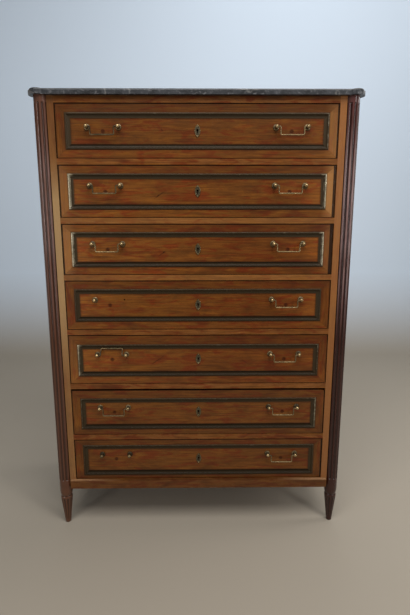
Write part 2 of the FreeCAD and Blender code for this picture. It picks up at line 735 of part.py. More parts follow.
def drawer_moulding(n):
    """A brass frame: a bead, then a cove that falls to the panel, mitred at the corners."""
    body = doc.addObject("PartDesign::Body", f"Moulding{n}")
    left, right = "-(half_front - border_width)", "(half_front - border_width)"
    low, high = f"frame_low_{n}", f"frame_top_{n}"
    run = [("0", high), (right, high), (right, low), (left, low), (left, high), ("0", high)]
    path = outline(body, "XZ_Plane", run, f"MouldingPath{n}", closed=False)
    fall = "(frame_width - bead_width - lip_width)"
    rise = "(cove_height - lip_height)"
    section = [
        ("panel_y", high),
        ("panel_y - bead_height*0.72", high),
        ("panel_y - bead_height*0.93", f"{high} - bead_width*0.16"),
        ("panel_y - bead_height", f"{high} - bead_width*0.42"),
        ("panel_y - bead_height*0.96", f"{high} - bead_width*0.7"),
        ("panel_y - bead_height*0.82", f"{high} - bead_width"),
        ("panel_y - cove_height", f"{high} - bead_width"),
        (f"panel_y - lip_height - {rise}*0.52", f"{high} - bead_width - {fall}*0.2"),
        (f"panel_y - lip_height - {rise}*0.22", f"{high} - bead_width - {fall}*0.5"),
        ("panel_y - lip_height", f"{high} - bead_width - {fall}"),
        ("panel_y - lip_height", f"{high} - frame_width"),
        ("panel_y", f"{high} - frame_width"),
    ]
    profile = outline(body, "YZ_Plane", section, f"MouldingSection{n}")
    pipe = body.newObject("PartDesign::AdditivePipe", f"MouldingRun{n}")
    pipe.Profile = profile
    pipe.Spine = (path, [f"Edge{edge}" for edge in range(1, len(run))])
    pipe.Transition = "Right corner"
    body.Tip = pipe
    node(f"drawer_{n}_moulding", body)


def handle_post(name, n, x, inward):
    """Rose, stem, drilled knob, shank through the board, and the nut behind it."""
    z = f"pivot_z_{n}"
    knob = fuse(
        name + "Turned",
        cone(name + "Rose", "rose_radius", "rose_radius*0.62", "rose_thick",
             (x, "panel_y", z), "-y"),
        rod(name + "Stem", "stem_radius", "pivot_out", (x, "panel_y", z), "-y"),
        ball(name + "Knob", "knob_radius", (x, "pivot_y", z)),
        rod(name + "Shank", "shank_radius", "board_back - panel_y + nut_thick + 2",
            (x, "panel_y", z), "y"))
    deep = "(pin_past + pin_end_clear)"
    bore = rod(name + "Bore", "wire_radius + pin_clear", f"{deep} + knob_radius + 1",
               (f"{x} - {inward}*{deep}", "pivot_y", z), "x" if inward > 0 else "-x")
    return cut(name, knob, bore)


def drawer_brasses(n):
    """Keyhole plate, lock case, handle posts and their nuts."""
    centre = f"middle_{n} + key_rise"
    lens = "((plate_height*plate_height + plate_width*plate_width)/(4*plate_width))"
    plate = common(
        f"PlateLens{n}",
        rod(f"PlateArcLeft{n}", lens, "plate_thick",
            (f"{lens} - plate_width/2", "panel_y", f"{centre} - key_drop/4"), "-y"),
        rod(f"PlateArcRight{n}", lens, "plate_thick",
            (f"plate_width/2 - {lens}", "panel_y", f"{centre} - key_drop/4"), "-y"))
    solids = [cut(f"Plate{n}", plate, keyhole(f"KeyPlate{n}", n, "panel_y - plate_thick - 1",
                                              "panel_y + 1"))]
    case = box(f"LockBlock{n}", ("-lock_width/2", "lock_width/2"),
               ("board_back - lock_thick", "board_back"), (f"{centre} - lock_below", f"top_{n}"))
    half = "(bolt_width/2 + bolt_clear)"
    deep = "(bolt_thick/2 + bolt_clear)"
    channel = box(f"LockChannel{n}", (f"-{half}", half), (f"bolt_y - {deep}", f"bolt_y + {deep}"),
                  (f"{centre} - key_drop", f"top_{n} + 1"))
    solids.append(cut(f"LockCase{n}", case, channel,
                      keyhole(f"KeyLock{n}", n, "board_back - lock_thick - 1", "bolt_y")))
    for side, sign in (("left", "-"), ("right", "")):
        present, _ = HANDLES[n, side]
        for arm in present:
            shift = "-" if arm == "left" else "+"
            x = f"{sign}handle_x {shift} post_spread/2"
            name = f"Post{n}{side}{arm}"
            solids.append(handle_post(name, n, x, 1 if arm == "left" else -1))
            solids.append(drawer_nut(name, n, x))
    node(f"drawer_{n}_brasses", *solids)


def drawer_nut(name, n, x):
    """The square nut on the shank, behind the board."""
    z = f"pivot_z_{n}"
    half = "nut_width/2"
    block = box(name + "NutBlock", (f"{x} - {half}", f"{x} + {half}"),
                ("board_back", "board_back + nut_thick"), (f"{z} - {half}", f"{z} + {half}"))
    hole = rod(name + "NutHole", "shank_radius", "nut_thick + 2", (x, "board_back - 1", z), "y")
    return cut(name + "Nut", block, hole)


def drawer_bolt(n):
    """The flat bolt that the key lifts out of the lock's top edge."""
    node(f"drawer_{n}_bolt",
         box(f"Bolt{n}", ("-bolt_width/2", "bolt_width/2"),
             ("bolt_y - bolt_thick/2", "bolt_y + bolt_thick/2"),
             (f"middle_{n} + key_rise + bolt_above_key", f"top_{n} - bolt_clear")))


def bail(n, side, thrown_up):
    """A bent wire: bar, two arms and two pins, built round its pivot axis and then placed."""
    name = f"Bail{n}{side}"
    arm, bend, drop = "bail_span/2", "bail_bend", "bail_drop"
    pieces = [rod(name + "Bar", "wire_radius", f"bail_span - 2*{bend}",
                  (f"{bend} - {arm}", "0", f"-{drop}"), "x")]
    for hand, sign in (("Left", -1), ("Right", 1)):
        minus = "-" if sign < 0 else ""
        lower = Rotation(Vector(1, 0, 0), 90)            # ring in the XZ plane
        start = 180 if sign < 0 else 270
        pieces += [
            ring(f"{name}Lower{hand}", bend, "wire_radius",
                 (f"{minus}({arm} - {bend})", "0", f"{bend} - {drop}"),
                 Rotation(Vector(0, 1, 0), -start) * lower, 90),
            rod(f"{name}Arm{hand}", "wire_radius", f"{drop} - 2*{bend}",
                (f"{minus}({arm})", "0", f"{bend} - {drop}")),
            ring(f"{name}Upper{hand}", bend, "wire_radius",
                 (f"{minus}({arm} + {bend})", "0", f"-{bend}"),
                 Rotation(Vector(0, 1, 0), -(0 if sign < 0 else 90)) * lower, 90),
            rod(f"{name}Pin{hand}", "wire_radius",
                "post_spread/2 - bail_span/2 - bail_bend + pin_past",
                (f"{minus}({arm} + {bend})", "0", "0"), "x" if sign > 0 else "-x"),
        ]
    whole = fuse(name, *pieces)
    sign = "-" if side == "left" else ""
    bind(whole, (f"{sign}handle_x", "pivot_y", f"pivot_z_{n}"))
    if thrown_up:
        whole.Placement.Rotation = Rotation(Vector(1, 0, 0), -180)
        whole.setExpression("Placement.Rotation.Angle", ex("-(180 + bail_lean)*1deg"))
    node(f"drawer_{n}_bail_{side}", whole)


for n in DRAWERS:
    drawer_front(n)
    drawer_box(n)
    drawer_moulding(n)
    drawer_brasses(n)
    drawer_bolt(n)
    for side in WHOLE:
        _, state = HANDLES[n, side]
        if state != "lost":
            bail(n, side, state == "thrown up")

# ---------------------------------------------------------------------------------------
# Check every feature, then write one file per sub-part
# ---------------------------------------------------------------------------------------

doc.recompute()
failed = [item.Label for item in doc.Objects
          if "Invalid" in item.State or "Error" in item.State]
if failed:
    raise RuntimeError("failed features: " + ", ".join(failed))
for part in NODES:
    shape = part.Shape
    if shape.isNull() or not shape.isValid():
        raise RuntimeError("bad shape: " + part.Label)
    shape.exportStep(f"parts/{part.Label}.step")
    print(f"{part.Label}: {len(shape.Solids)} solid(s), {shape.Volume / 1000:.1f} cm3")
print(len(NODES), "sub-parts written")
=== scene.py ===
# %% [markdown]
# # A chest of seven drawers, dressed for a close look
#
# The solids of the chest come in as a fixed frame: a marble slab, two fluted columns,
# seven drawers and all their brass.  This lesson dresses that frame.  Plain boards keep
# the shape they have and get a wood made of nodes.  What is turned, cast or bent gets a
# new surface, worked out as a formula on a grid, because a formula stays round however
# close one looks.

# %% Load the frame
import json
from math import cos, pi, radians, sin

import bpy
import numpy as np
from mathutils import Euler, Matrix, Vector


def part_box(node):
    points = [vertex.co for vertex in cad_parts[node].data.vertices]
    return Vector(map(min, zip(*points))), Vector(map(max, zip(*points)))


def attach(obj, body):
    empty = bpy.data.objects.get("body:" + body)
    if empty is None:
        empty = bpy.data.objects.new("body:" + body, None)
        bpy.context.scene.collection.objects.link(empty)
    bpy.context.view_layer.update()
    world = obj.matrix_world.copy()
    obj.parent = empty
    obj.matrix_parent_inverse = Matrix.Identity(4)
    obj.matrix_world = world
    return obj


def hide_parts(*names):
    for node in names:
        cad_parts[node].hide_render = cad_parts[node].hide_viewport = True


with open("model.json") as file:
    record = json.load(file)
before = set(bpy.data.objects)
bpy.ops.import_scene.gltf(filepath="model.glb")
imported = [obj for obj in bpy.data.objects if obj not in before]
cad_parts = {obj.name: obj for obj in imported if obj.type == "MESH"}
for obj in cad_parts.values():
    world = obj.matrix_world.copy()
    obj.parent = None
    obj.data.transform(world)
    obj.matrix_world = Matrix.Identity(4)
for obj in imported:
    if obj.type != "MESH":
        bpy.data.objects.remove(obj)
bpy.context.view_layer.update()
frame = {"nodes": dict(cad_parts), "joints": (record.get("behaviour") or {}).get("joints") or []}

nodes, joints = frame["nodes"], {joint["name"]: joint for joint in frame["joints"]}

# %% [markdown]
# ## A grid of points becomes a surface
#
# Every new piece here is a table of points with rows and columns.  Neighbours in the
# table become the corners of a face.  Where a shape closes on itself the last row or
# column joins the first, and where it ends in a tip the last ring closes on one point.
# One helper does this for all of them, so the formulas stay short.

# %% The skin helper
def put(name, data):
    """A new object of the scene that holds the data."""
    made = bpy.data.objects.new(name, data)
    bpy.context.scene.collection.objects.link(made)
    return made


def skin(name, grids, body, material, wrap=(False, True), tips=True, marks=None, crease=40):
    """Make one piece from grids of points.

    A grid has the shape (rows, columns, 3).  wrap says whether rows and columns close
    on themselves; tips closes the first and last row on their middle points.  marks
    holds for each grid the numbers that its points keep as the attribute "rub".
    """
    vertices, faces, rub, start = [], [], [], 0
    for index, grid in enumerate(grids):
        rows, columns = grid.shape[:2]
        numbers = np.arange(rows * columns).reshape(rows, columns) + start
        if wrap[0]:
            numbers = np.vstack([numbers, numbers[:1]])
        if wrap[1]:
            numbers = np.hstack([numbers, numbers[:, :1]])
        quads = np.stack([numbers[:-1, :-1], numbers[1:, :-1], numbers[1:, 1:], numbers[:-1, 1:]], -1)
        faces += quads.reshape(-1, 4).tolist()
        points = grid.reshape(-1, 3)
        values = np.broadcast_to(1.0 if marks is None else marks[index], grid.shape[:2]).ravel()
        start += len(points)
        if tips and not wrap[0]:
            for row, flip in ((0, False), (-1, True)):
                loop = numbers[row]
                tip = np.stack([loop[:-1], loop[1:], np.full(len(loop) - 1, start)], -1)
                faces += (tip[:, ::-1] if flip else tip).tolist()
                points = np.vstack([points, grid[row].mean(0)])
                values = np.append(values, values[numbers[row, 0] - numbers[0, 0]])
                start += 1
        vertices.append(points)
        rub.append(values)
    mesh = bpy.data.meshes.new(name)
    mesh.from_pydata(np.vstack(vertices).tolist(), [], faces)
    mesh.attributes.new("rub", "FLOAT", "POINT").data.foreach_set(
        "value", np.concatenate(rub).astype(np.float32))
    mesh.polygons.foreach_set("use_smooth", np.ones(len(mesh.polygons), bool))
    mesh.set_sharp_from_angle(angle=radians(crease))
    mesh.update()
    mesh.materials.append(material)
    piece = put(name, mesh)
    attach(piece, body)
    return piece


def whole_turn(count):
    """Angles round a circle, the last one step short of the first."""
    return np.linspace(0, 2 * pi, count, endpoint=False)


def ripple(along, across, seed, size):
    """A smooth random height: the sum of six sines of random slant, size high."""
    dice = np.random.default_rng(seed)
    total = 0.0
    for _ in range(6):
        pace, lean, phase = dice.uniform(8, 60), dice.uniform(-30, 30), dice.uniform(0, 2 * pi)
        total = total + np.sin(along * pace + across * lean + phase)
    return total * size / 6


print("skin and ripple are ready")

# %% [markdown]
# ## A short hand for materials
#
# A finish is a small network: coordinates in, patterns in the middle, a shader at the
# end.  Writing the network out node by node hides the idea, so a small class gives
# each step a name.  Values that are the same all over go straight onto the shader.
# Colour builds up in layers: the recipe keeps its coat so far, and lays each new tone
# over it as strongly as some shares say, which may themselves be patterns.

# %% The recipe helper
def linear(red, green, blue):
    """The linear colour of a screen colour given as 0 to 255."""
    screen = np.array([red, green, blue]) / 255
    return (*np.where(screen <= 0.04045, screen / 12.92, ((screen + 0.055) / 1.055) ** 2.4), 1.0)


class Recipe:
    """A material under way: most methods add a node and return what it puts out."""

    def __init__(self, name, **shader):
        self.coat = None
        self.material = bpy.data.materials.new(name)
        self.material.use_nodes = True
        self.tree = self.material.node_tree
        self.tree.nodes.clear()
        self.shader = self.add("ShaderNodeBsdfPrincipled", shader)
        end = self.tree.nodes.new("ShaderNodeOutputMaterial")
        self.tree.links.new(self.shader.outputs[0], end.inputs["Surface"])
        self.place = self.add("ShaderNodeTexCoord").outputs["Object"]

    def add(self, kind, sockets=None, **settings):
        """A new node with these settings, its sockets fed."""
        made = self.tree.nodes.new(kind)
        for name, value in settings.items():
            setattr(made, name, value)
        for name, value in (sockets or {}).items():
            self.feed(made.inputs[name], value)
        return made

    def feed(self, socket, value):
        """Link a socket to what another node puts out, or set its value."""
        if isinstance(value, bpy.types.NodeSocket):
            self.tree.links.new(value, socket)
        else:
            socket.default_value = value

    def math(self, operation, *values, clamp=False):
        """One step of arithmetic, repeated from left to right where more than two values come."""
        while len(values) > 2:
            values = (self.math(operation, *values[:2]), *values[2:])
        return self.add("ShaderNodeMath", dict(enumerate(values)), operation=operation,
                        use_clamp=clamp).outputs[0]

    def times(self, *values):
        return self.math("MULTIPLY", *values) if len(values) > 1 else values[0]

    def gap(self, first, second):
        """How far two values are apart."""
        return self.math("ABSOLUTE", self.math("SUBTRACT", first, second))

    def stretch(self, where, scale, shift=(0, 0, 0)):
        return self.add("ShaderNodeMapping", {"Vector": where, "Scale": scale,
                                              "Location": shift}).outputs[0]

    def noise(self, where, pace, detail=4.0, roughness=0.55, distortion=0.0):
        """Smooth noise; pace is its patches per metre, one number or one for each axis."""
        if isinstance(pace, tuple):
            where, pace = self.stretch(where, pace), 1.0
        return self.add("ShaderNodeTexNoise", {
            "Vector": where, "Scale": pace, "Detail": detail, "Roughness": roughness,
            "Distortion": distortion}).outputs["Fac"]

    def ramp(self, value, low, high, start=0.0, end=1.0):
        """Spread the values between low and high over start to end, and no further."""
        return self.add("ShaderNodeMapRange", {
            "Value": value, "From Min": low, "From Max": high, "To Min": start,
            "To Max": end}).outputs[0]

    def mix(self, share, first, second, blend="MIX"):
        """The first colour, with as much of the second as the share says.

        Three numbers are a screen colour; four are used as they are.
        """
        made = self.add("ShaderNodeMix", data_type="RGBA", blend_type=blend)
        for index, value in ((0, share), (6, first), (7, second)):
            screen = isinstance(value, tuple) and len(value) == 3
            self.feed(made.inputs[index], linear(*value) if screen else value)
        return made.outputs[2]

    def split(self, where):
        return self.add("ShaderNodeSeparateXYZ", {"Vector": where}).outputs

    def join(self, x, y, z):
        return self.add("ShaderNodeCombineXYZ", {"X": x, "Y": y, "Z": z}).outputs[0]

    def attribute(self, name):
        return self.add("ShaderNodeAttribute", attribute_name=name).outputs["Fac"]

    def lay(self, over, *shares, blend="MIX"):
        """Lay one more colour over the coat so far, as strongly as the product of its shares."""
        self.coat = self.mix(self.times(*shares), self.coat, over, blend)

    def rough(self, value):
        self.feed(self.shader.inputs["Roughness"], value)

    def relief(self, height, distance, strength):
        bump = self.add("ShaderNodeBump", {"Height": height, "Distance": distance,
                                           "Strength": strength})
        self.feed(self.shader.inputs["Normal"], bump.outputs[0])

    def done(self):
        """Hand the coat to the shader and give the material back."""
        self.feed(self.shader.inputs["Base Color"], self.coat)
        return self.material


print("a recipe is ready")

# %% [markdown]
# ## Old waxed wood
#
# Old walnut is a play of soft patches more than of lines: orange where it was sunned,
# red where it was stained, brown where wax has gathered.  Over the patches lie thin
# streaks, long in one direction, and pores as fine dark dashes.  All the patterns read
# coordinates that are turned so that the first runs along the grain; one function then
# serves every board.
#
# Three finishes add something of their own.  The strips beside the columns carry a
# painted reflection half way up on the left, the back shows its seams, and the rails
# carry a painted shadow under the slab and are dark at the base, whose ledge carries a
# painted highlight toward its ends.

# %% Wood
def wood(recipe, grain, seed, dark, middle, light, tint, red, blotch=0.55):
    """Give a recipe waxed wood, for coordinates (along, across, depth); blotch is how dark wax is."""
    grain = recipe.stretch(grain, (1, 1, 1), (seed * 1.37, seed * 0.71, seed * 0.29))
    streak = recipe.noise(grain, (9, 260, 260), 6.0, 0.62, 0.5)
    figure = recipe.noise(grain, (7, 62, 62), 5.0, 0.6, 1.0)
    pore = recipe.noise(grain, (55, 1700, 1700), 2.0, 0.5)
    sunned = recipe.noise(grain, (9, 30, 30), 4.0, 0.55, 0.8)
    stained = recipe.noise(recipe.stretch(grain, (13, 48, 48), (5, 3, 1)), 1.0, 4.0, 0.55, 0.9)
    waxed = recipe.noise(recipe.stretch(grain, (9, 24, 24), (1, 8, 4)), 1.0, 5.0, 0.62, 0.6)
    fleck = recipe.ramp(pore, 0.6, 0.72)
    recipe.coat = recipe.mix(recipe.ramp(figure, 0.36, 0.64, 0, 0.55), middle, light)
    recipe.lay(tint, recipe.ramp(sunned, 0.46, 0.68, 0, 0.8))
    recipe.lay(red, recipe.ramp(stained, 0.48, 0.62, 0, 0.85))
    recipe.lay(dark, recipe.ramp(waxed, 0.5, 0.74, 0, blotch))
    recipe.lay(dark, recipe.ramp(streak, 0.36, 0.62, 0.5, 0))
    recipe.lay(dark, fleck, 0.4)
    recipe.rough(recipe.ramp(waxed, 0.3, 0.8, 0.24, 0.34))
    recipe.relief(recipe.math("ADD", recipe.times(fleck, -0.5), recipe.times(streak, 0.5)), 0.0003, 0.4)


def grain_along(recipe, axis):
    """Object coordinates turned so that the first runs along the named axis."""
    x, y, z = recipe.split(recipe.place)
    return recipe.join(*{"x": (x, z, y), "y": (y, x, z), "z": (z, x, y)}[axis])


WALNUT = dict(dark=(50, 26, 10), middle=(107, 61, 23), light=(124, 77, 30),
              tint=(127, 76, 26), red=(110, 47, 18))
RAIL_WALNUT = dict(WALNUT, middle=(124, 74, 34), light=(142, 92, 46))
PALE_WALNUT = dict(dark=(72, 40, 16), middle=(122, 72, 30), light=(138, 90, 44),
                   tint=(134, 84, 36), red=(116, 60, 25))
PLAIN_WOOD = dict(dark=(112, 82, 50), middle=(158, 126, 84), light=(182, 152, 108),
                  tint=(170, 136, 88), red=(146, 108, 70))
WAXED = {"Coat Weight": 0.06, "Coat Roughness": 0.16, "IOR": 1.4, "Specular IOR Level": 0.3}


def board(name, axis, shades, seed, run=1.0, blotch=0.55):
    """The wood of a board with its grain along one axis; a small run makes the grain longer."""
    recipe = Recipe(name, **WAXED)
    wood(recipe, recipe.stretch(grain_along(recipe, axis), (run, 1, 1)), seed, blotch=blotch, **shades)
    return recipe


def stile_finish():
    """The upright strips beside the columns, whose left and right differ; the left one carries a painted
    reflection half way up.
    """
    recipe = board("stile_walnut", "z", PALE_WALNUT, 5)
    x, _, z = recipe.split(recipe.place)
    on_left, on_right = recipe.math("LESS_THAN", x, 0.0), recipe.math("GREATER_THAN", x, 0.0)
    # Painted reflection of a window, half way up the left strip.
    painted_glare = recipe.math("MINIMUM", recipe.ramp(z, 1.4, 1.25, 0.1, 0.65),
                           recipe.ramp(z, 0.6, 0.9, 0.2, 0.65))
    recipe.lay((174, 144, 100), on_left, painted_glare)
    recipe.lay((84, 50, 24), on_left, recipe.ramp(z, 1.25, 1.45, 0, 0.5))
    recipe.lay((84, 46, 20), on_right, recipe.ramp(z, 0.95, 0.5, 0, 0.35))
    recipe.lay((160, 108, 64), on_right, 0.45)
    return recipe.done()


def back_finish():
    """Three boards of one width: the seams lie a sixth of the back from its middle."""
    recipe = board("back_wood", "z", PLAIN_WOOD, 13, run=0.3, blotch=0.35)
    low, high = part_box("back_boards")
    seam = (high.x - low.x) / 6
    off_centre = recipe.math("ABSOLUTE", recipe.split(recipe.place)[0])
    recipe.lay((122, 94, 60), recipe.math("LESS_THAN", off_centre, seam), 0.3)
    recipe.lay((48, 34, 20), recipe.ramp(recipe.gap(off_centre, seam), 0.0008, 0.003, 0.85, 0))
    return recipe.done()


def rail_finish():
    """The rails: a painted shadow under the slab, paler half way up, dark at the base, a painted highlight on
    the ledge.
    """
    recipe = board("rail_walnut", "x", RAIL_WALNUT, 3)
    x, y, z = recipe.split(recipe.place)
    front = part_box("drawer_7_front")[0]
    base_top, under_slab = front.z - 0.0015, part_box("marble_top")[0].z
    recipe.lay((58, 34, 19), recipe.math("LESS_THAN", z, base_top - 0.003), 0.42)
    # Painted shadow under the slab.
    recipe.lay((22, 14, 8), recipe.ramp(z, under_slab - 0.009, under_slab - 0.004, 0, 0.45))
    ledge = recipe.times(recipe.ramp(z, base_top - 0.0035, base_top - 0.0005),
                         recipe.math("LESS_THAN", y, front.y - 0.0012),
                         recipe.math("LESS_THAN", z, base_top + 0.0005))
    recipe.lay((54, 32, 18), ledge, 0.6)
    recipe.lay((176, 126, 72), recipe.ramp(z, 1.3, 1.15), recipe.ramp(z, 0.9, 1.0, 0, 0.2))
    # Painted highlight on the base rail's ledge, in patches, toward its ends.
    sheen_patches = recipe.ramp(recipe.noise(recipe.place, (9, 60, 60), 4.0, 0.6), 0.3, 0.65, 0.2, 0.9)
    toward_end = recipe.ramp(recipe.math("ABSOLUTE", x), 0.3, 0.47)
    recipe.lay((168, 128, 92), ledge, toward_end, sheen_patches)
    return recipe.done()


def dress(node, material):
    """Give a part of the frame its finish."""
    mesh = nodes[node].data
    mesh.materials.clear()
    mesh.materials.append(material)


side_walnut = board("side_walnut", "z", WALNUT, 8).done()
inner_x = board("inner_wood_across", "x", PLAIN_WOOD, 11, run=0.5, blotch=0.25).done()
inner_y = board("inner_wood_deep", "y", PLAIN_WOOD, 12, run=0.5, blotch=0.25).done()
for part, finish in (("front_rails", rail_finish()), ("front_posts", stile_finish()),
                     ("side_left", side_walnut), ("side_right", side_walnut),
                     ("rear_posts", side_walnut), ("back_boards", back_finish()),
                     ("top_board", inner_x), ("base_board", inner_x), ("drawer_runners", inner_y)):
    dress(part, finish)
print("case dressed")

# %% [markdown]
# ## Drawer fronts: a panel in a mitred border
#
# Each front is a board with four thin strips glued round it.  On the end strips the
# grain stands upright, and the joint to the long strips runs at a slant through the
# corner.  The finish works out for each point which strip it lies on: it compares the
# distance to the end of the drawer with the distance to the long edge, each divided
# by the width of its strip.  The smaller one wins, and past one it is the panel.
# The panel darkens a little beside the brass.  The outer edges carry a painted shadow,
# nearly black, widest at the right-hand ends of the second and third drawers.
#
# No two fronts have aged alike, so tables hold the tone, sun, stain and scratches of
# each, and its painted reflections and shadows.  A dark spot lies round each wooden
# plug in the hole of an older knob.

# %% Drawer fronts
HANDLE_X = 0.320  # from the middle of a front to the middle of a handle, where the plug is
FRAME_WIDE = 0.017  # a brass frame, from its outer edge to the wood inside it
LIGHTER, REDDER = (2.3, 2.3, 2.2, 1), (0.7, 0.3, 0.25, 1)  # what the wood is multiplied by

# The tables go by drawer number, from the top.  A pair is for the left and right end.
SHADES = {1: 0.14, 6: 0.05, 7: 0.07}  # the whole front darker
SUNNY = {2: 0.13, 3: 0.18, 4: 0.06, 5: 0.12, 6: 0.04, 7: 0.02}  # lighter toward the left
RUDDY = {3: 0.2, 4: 0.2, 5: 0.28}  # redder toward the right
# The panel's ends lighter: a painted reflection of the windows.
PAINTED_GLOW_ENDS = {1: (0, 0.12), 2: (0.1, 0.35), 3: (0.2, 0.35), 4: (0.3, 0.4), 5: (0.3, 0.15),
               6: (0.1, 0), 7: (0.08, 0)}  # the ends of the panel lighter
LOW_BORDERS = {1: 0.12, 4: 0.06, 5: 0.08, 6: -0.22, 7: -0.3}  # the lower strip lighter, below zero darker
# The upright strips paler: a painted reflection.
PAINTED_SHEEN_ENDS = {1: (0, 0.3), 2: (0.25, 0.65), 3: (0.4, 0.2), 5: (0.12, 0)}  # the upright strips paler
DARK_ENDS = {1: (0.0022, 0.0042), 2: (0.0034, 0.0085), 3: (0.0040, 0.0115), 6: (0.0016, 0.0024),
             7: (0.0020, 0.0045)}  # how far in from the end the painted shadow reaches

# A scratch is its middle (x and rise), half its length, its slant in radians and half its width.
SCRATCHES = {
    1: [(-0.1205, 0.005, 0.005, -0.9, 0.0014)],
    2: [(-0.133, -0.011, 0.024, 0.6, 0.0013), (-0.137, -0.0125, 0.005, 0.6, 0.0024)],
    3: [(-0.1285, -0.015, 0.018, 0.58, 0.0014), (-0.121, -0.0085, 0.004, 0.4, 0.0026)],
    5: [(-0.158, -0.008, 0.024, 0.62, 0.0014), (-0.136, 0.006, 0.016, 0.75, 0.0008),
        (0.172, -0.0095, 0.015, -0.6, 0.0011)]}


class Front(Recipe):
    """The finish of one drawer front, which knows for each point the strip it lies on."""

    def __init__(self, number):
        super().__init__(f"front_walnut_{number}", **WAXED)
        self.number = number
        self.low, self.high = low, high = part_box(f"drawer_{number}_front")
        self.frame_low, self.frame_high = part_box(f"drawer_{number}_moulding")
        self.x, y, self.z = self.split(self.place)
        self.off_centre = self.math("ABSOLUTE", self.x)
        self.rise = self.math("SUBTRACT", self.z, (low.z + high.z) / 2)
        self.to_end = self.progress(self.off_centre, high.x, self.frame_high.x)
        self.to_top = self.progress(self.z, high.z, self.frame_high.z)
        self.to_edge = self.math("MINIMUM", self.to_top, self.progress(self.z, low.z, self.frame_low.z))
        self.nearest = self.math("MINIMUM", self.to_end, self.to_edge)
        self.on_panel = self.math("GREATER_THAN", self.nearest, 1.0)
        self.on_border = self.math("SUBTRACT", 1.0, self.on_panel)
        self.upright = self.times(self.math("LESS_THAN", self.to_end, self.to_edge), self.on_border)
        grain = self.add("ShaderNodeMix", data_type="VECTOR")
        self.feed(grain.inputs[0], self.upright)
        self.feed(grain.inputs[4], self.join(self.x, self.rise, y))
        self.feed(grain.inputs[5], self.join(self.z, self.math("ADD", self.x, 3.0), y))
        wood(self, grain.outputs[1], seed=20 + 1.9 * number, **WALNUT)

    def progress(self, place, start, end):
        """How far a place is from start to end: zero to one, and more past the end."""
        return self.math("DIVIDE", self.math("SUBTRACT", place, start), end - start)

    def tone_and_painted_glow(self):
        """Broad changes of tone from one end of the front to the other, with a painted reflection on the
        panel's ends.
        """
        self.lay((50, 28, 14), SHADES.get(self.number, 0))
        self.lay(LIGHTER, self.ramp(self.x, 0.12, -0.2, 0, SUNNY.get(self.number, 0)), blend="MULTIPLY")
        self.lay(REDDER, self.ramp(self.x, -0.1, 0.15, 0, RUDDY.get(self.number, 0)), blend="MULTIPLY")
        # Painted reflection of the windows on the panel's ends.
        for share, side in zip(PAINTED_GLOW_ENDS.get(self.number, (0, 0)), (-1, 1)):
            painted_glow = self.ramp(self.x, side * 0.27, side * 0.43, 0, share)
            self.lay(LIGHTER, painted_glow, self.on_panel, blend="MULTIPLY")

    def strips(self):
        """The strips of the border: a painted shade above, lighter or darker below, a painted reflection on
        some ends.
        """
        low_border = LOW_BORDERS.get(self.number, 0)
        beneath = self.times(self.ramp(self.rise, -0.045, -0.06, 0, abs(low_border)), self.on_border)
        if low_border > 0:
            self.lay(LIGHTER, beneath, blend="MULTIPLY")
        else:
            self.lay((36, 24, 16), beneath)
        # Painted shade on the upper half of the border.
        above = self.ramp(self.rise, -0.03, 0.03, 0.0, 0.2 if self.number in (1, 2, 5) else 0.1)
        self.lay((60, 32, 14), above, self.on_border)
        # Painted reflection on the upright strips that the table names.
        beside = self.times(self.ramp(self.to_end, 1.5, 0.3), self.on_border, 0.7)
        strip = self.math("MAXIMUM", self.upright, beside)
        for share, side in zip(PAINTED_SHEEN_ENDS.get(self.number, (0, 0)), ("LESS_THAN", "GREATER_THAN")):
            self.lay((172, 122, 70), strip, self.math(side, self.x, 0.0), share)
        # Painted shade on the top strip, under the rail above.
        self.lay((52, 30, 17), self.ramp(self.to_top, 0.9, 1.0, 0.16, 0), self.on_border)

    def dark_lines(self):
        """Dark lines in the slanting joints and on both sides of the brass frame."""
        joint = self.times(self.ramp(self.gap(self.to_end, self.to_edge), 0.0, 0.03, 0.55, 0), self.on_border)
        inside = self.math("MINIMUM", self.math("SUBTRACT", self.frame_high.x - FRAME_WIDE, self.off_centre),
                           self.math("SUBTRACT", self.frame_high.z - FRAME_WIDE, self.z),
                           self.math("SUBTRACT", self.z, self.frame_low.z + FRAME_WIDE))
        within = self.times(self.ramp(inside, 0.0, 0.006, 0.55, 0), self.on_panel)
        around = self.times(self.ramp(self.nearest, 0.86, 1.0, 0, 0.5), self.on_border)
        self.lay((38, 22, 12), self.math("MAXIMUM", around, joint, within))

    def scratch(self, middle_x, middle_rise, half, slant, thick):
        """One on a scratch and zero beside it, with soft ends and sides."""
        away_x = self.math("SUBTRACT", self.x, middle_x)
        away_rise = self.math("SUBTRACT", self.rise, middle_rise)
        along = self.math("ADD", self.times(away_x, cos(slant)), self.times(away_rise, sin(slant)))
        across = self.math("SUBTRACT", self.times(away_rise, cos(slant)), self.times(away_x, sin(slant)))
        return self.times(self.ramp(self.math("ABSOLUTE", along), half * 0.5, half, 1, 0),
                          self.ramp(self.math("ABSOLUTE", across), thick * 0.4, thick, 1, 0))

    def scars(self):
        """The scratches, and a dark spot round each old plug."""
        for place in SCRATCHES.get(self.number, []):
            self.lay((36, 16, 6), self.scratch(*place), 0.85)
        across = self.math("SUBTRACT", self.off_centre, HANDLE_X)
        squares = self.math("ADD", self.times(across, across), self.times(self.rise, self.rise))
        self.lay((58, 24, 9), self.ramp(self.math("SQRT", squares), 0.0048, 0.0092, 0.82, 0))

    def painted_shadow_edges(self, fade=0.0012):
        """A painted shadow, nearly black, at the outer edges; fade is the width over which it thins out."""
        left, right = DARK_ENDS.get(self.number, (0.0016, 0.0016))
        edge_shadow = [self.ramp(place, start, start + way) for place, start, way in (
            (self.x, self.low.x + left, -fade), (self.x, self.high.x - right, fade),
            (self.z, self.low.z + 0.0018, -fade), (self.z, self.high.z - 0.002, fade))]
        self.lay((26, 12, 4), self.math("MAXIMUM", *edge_shadow), 0.92)


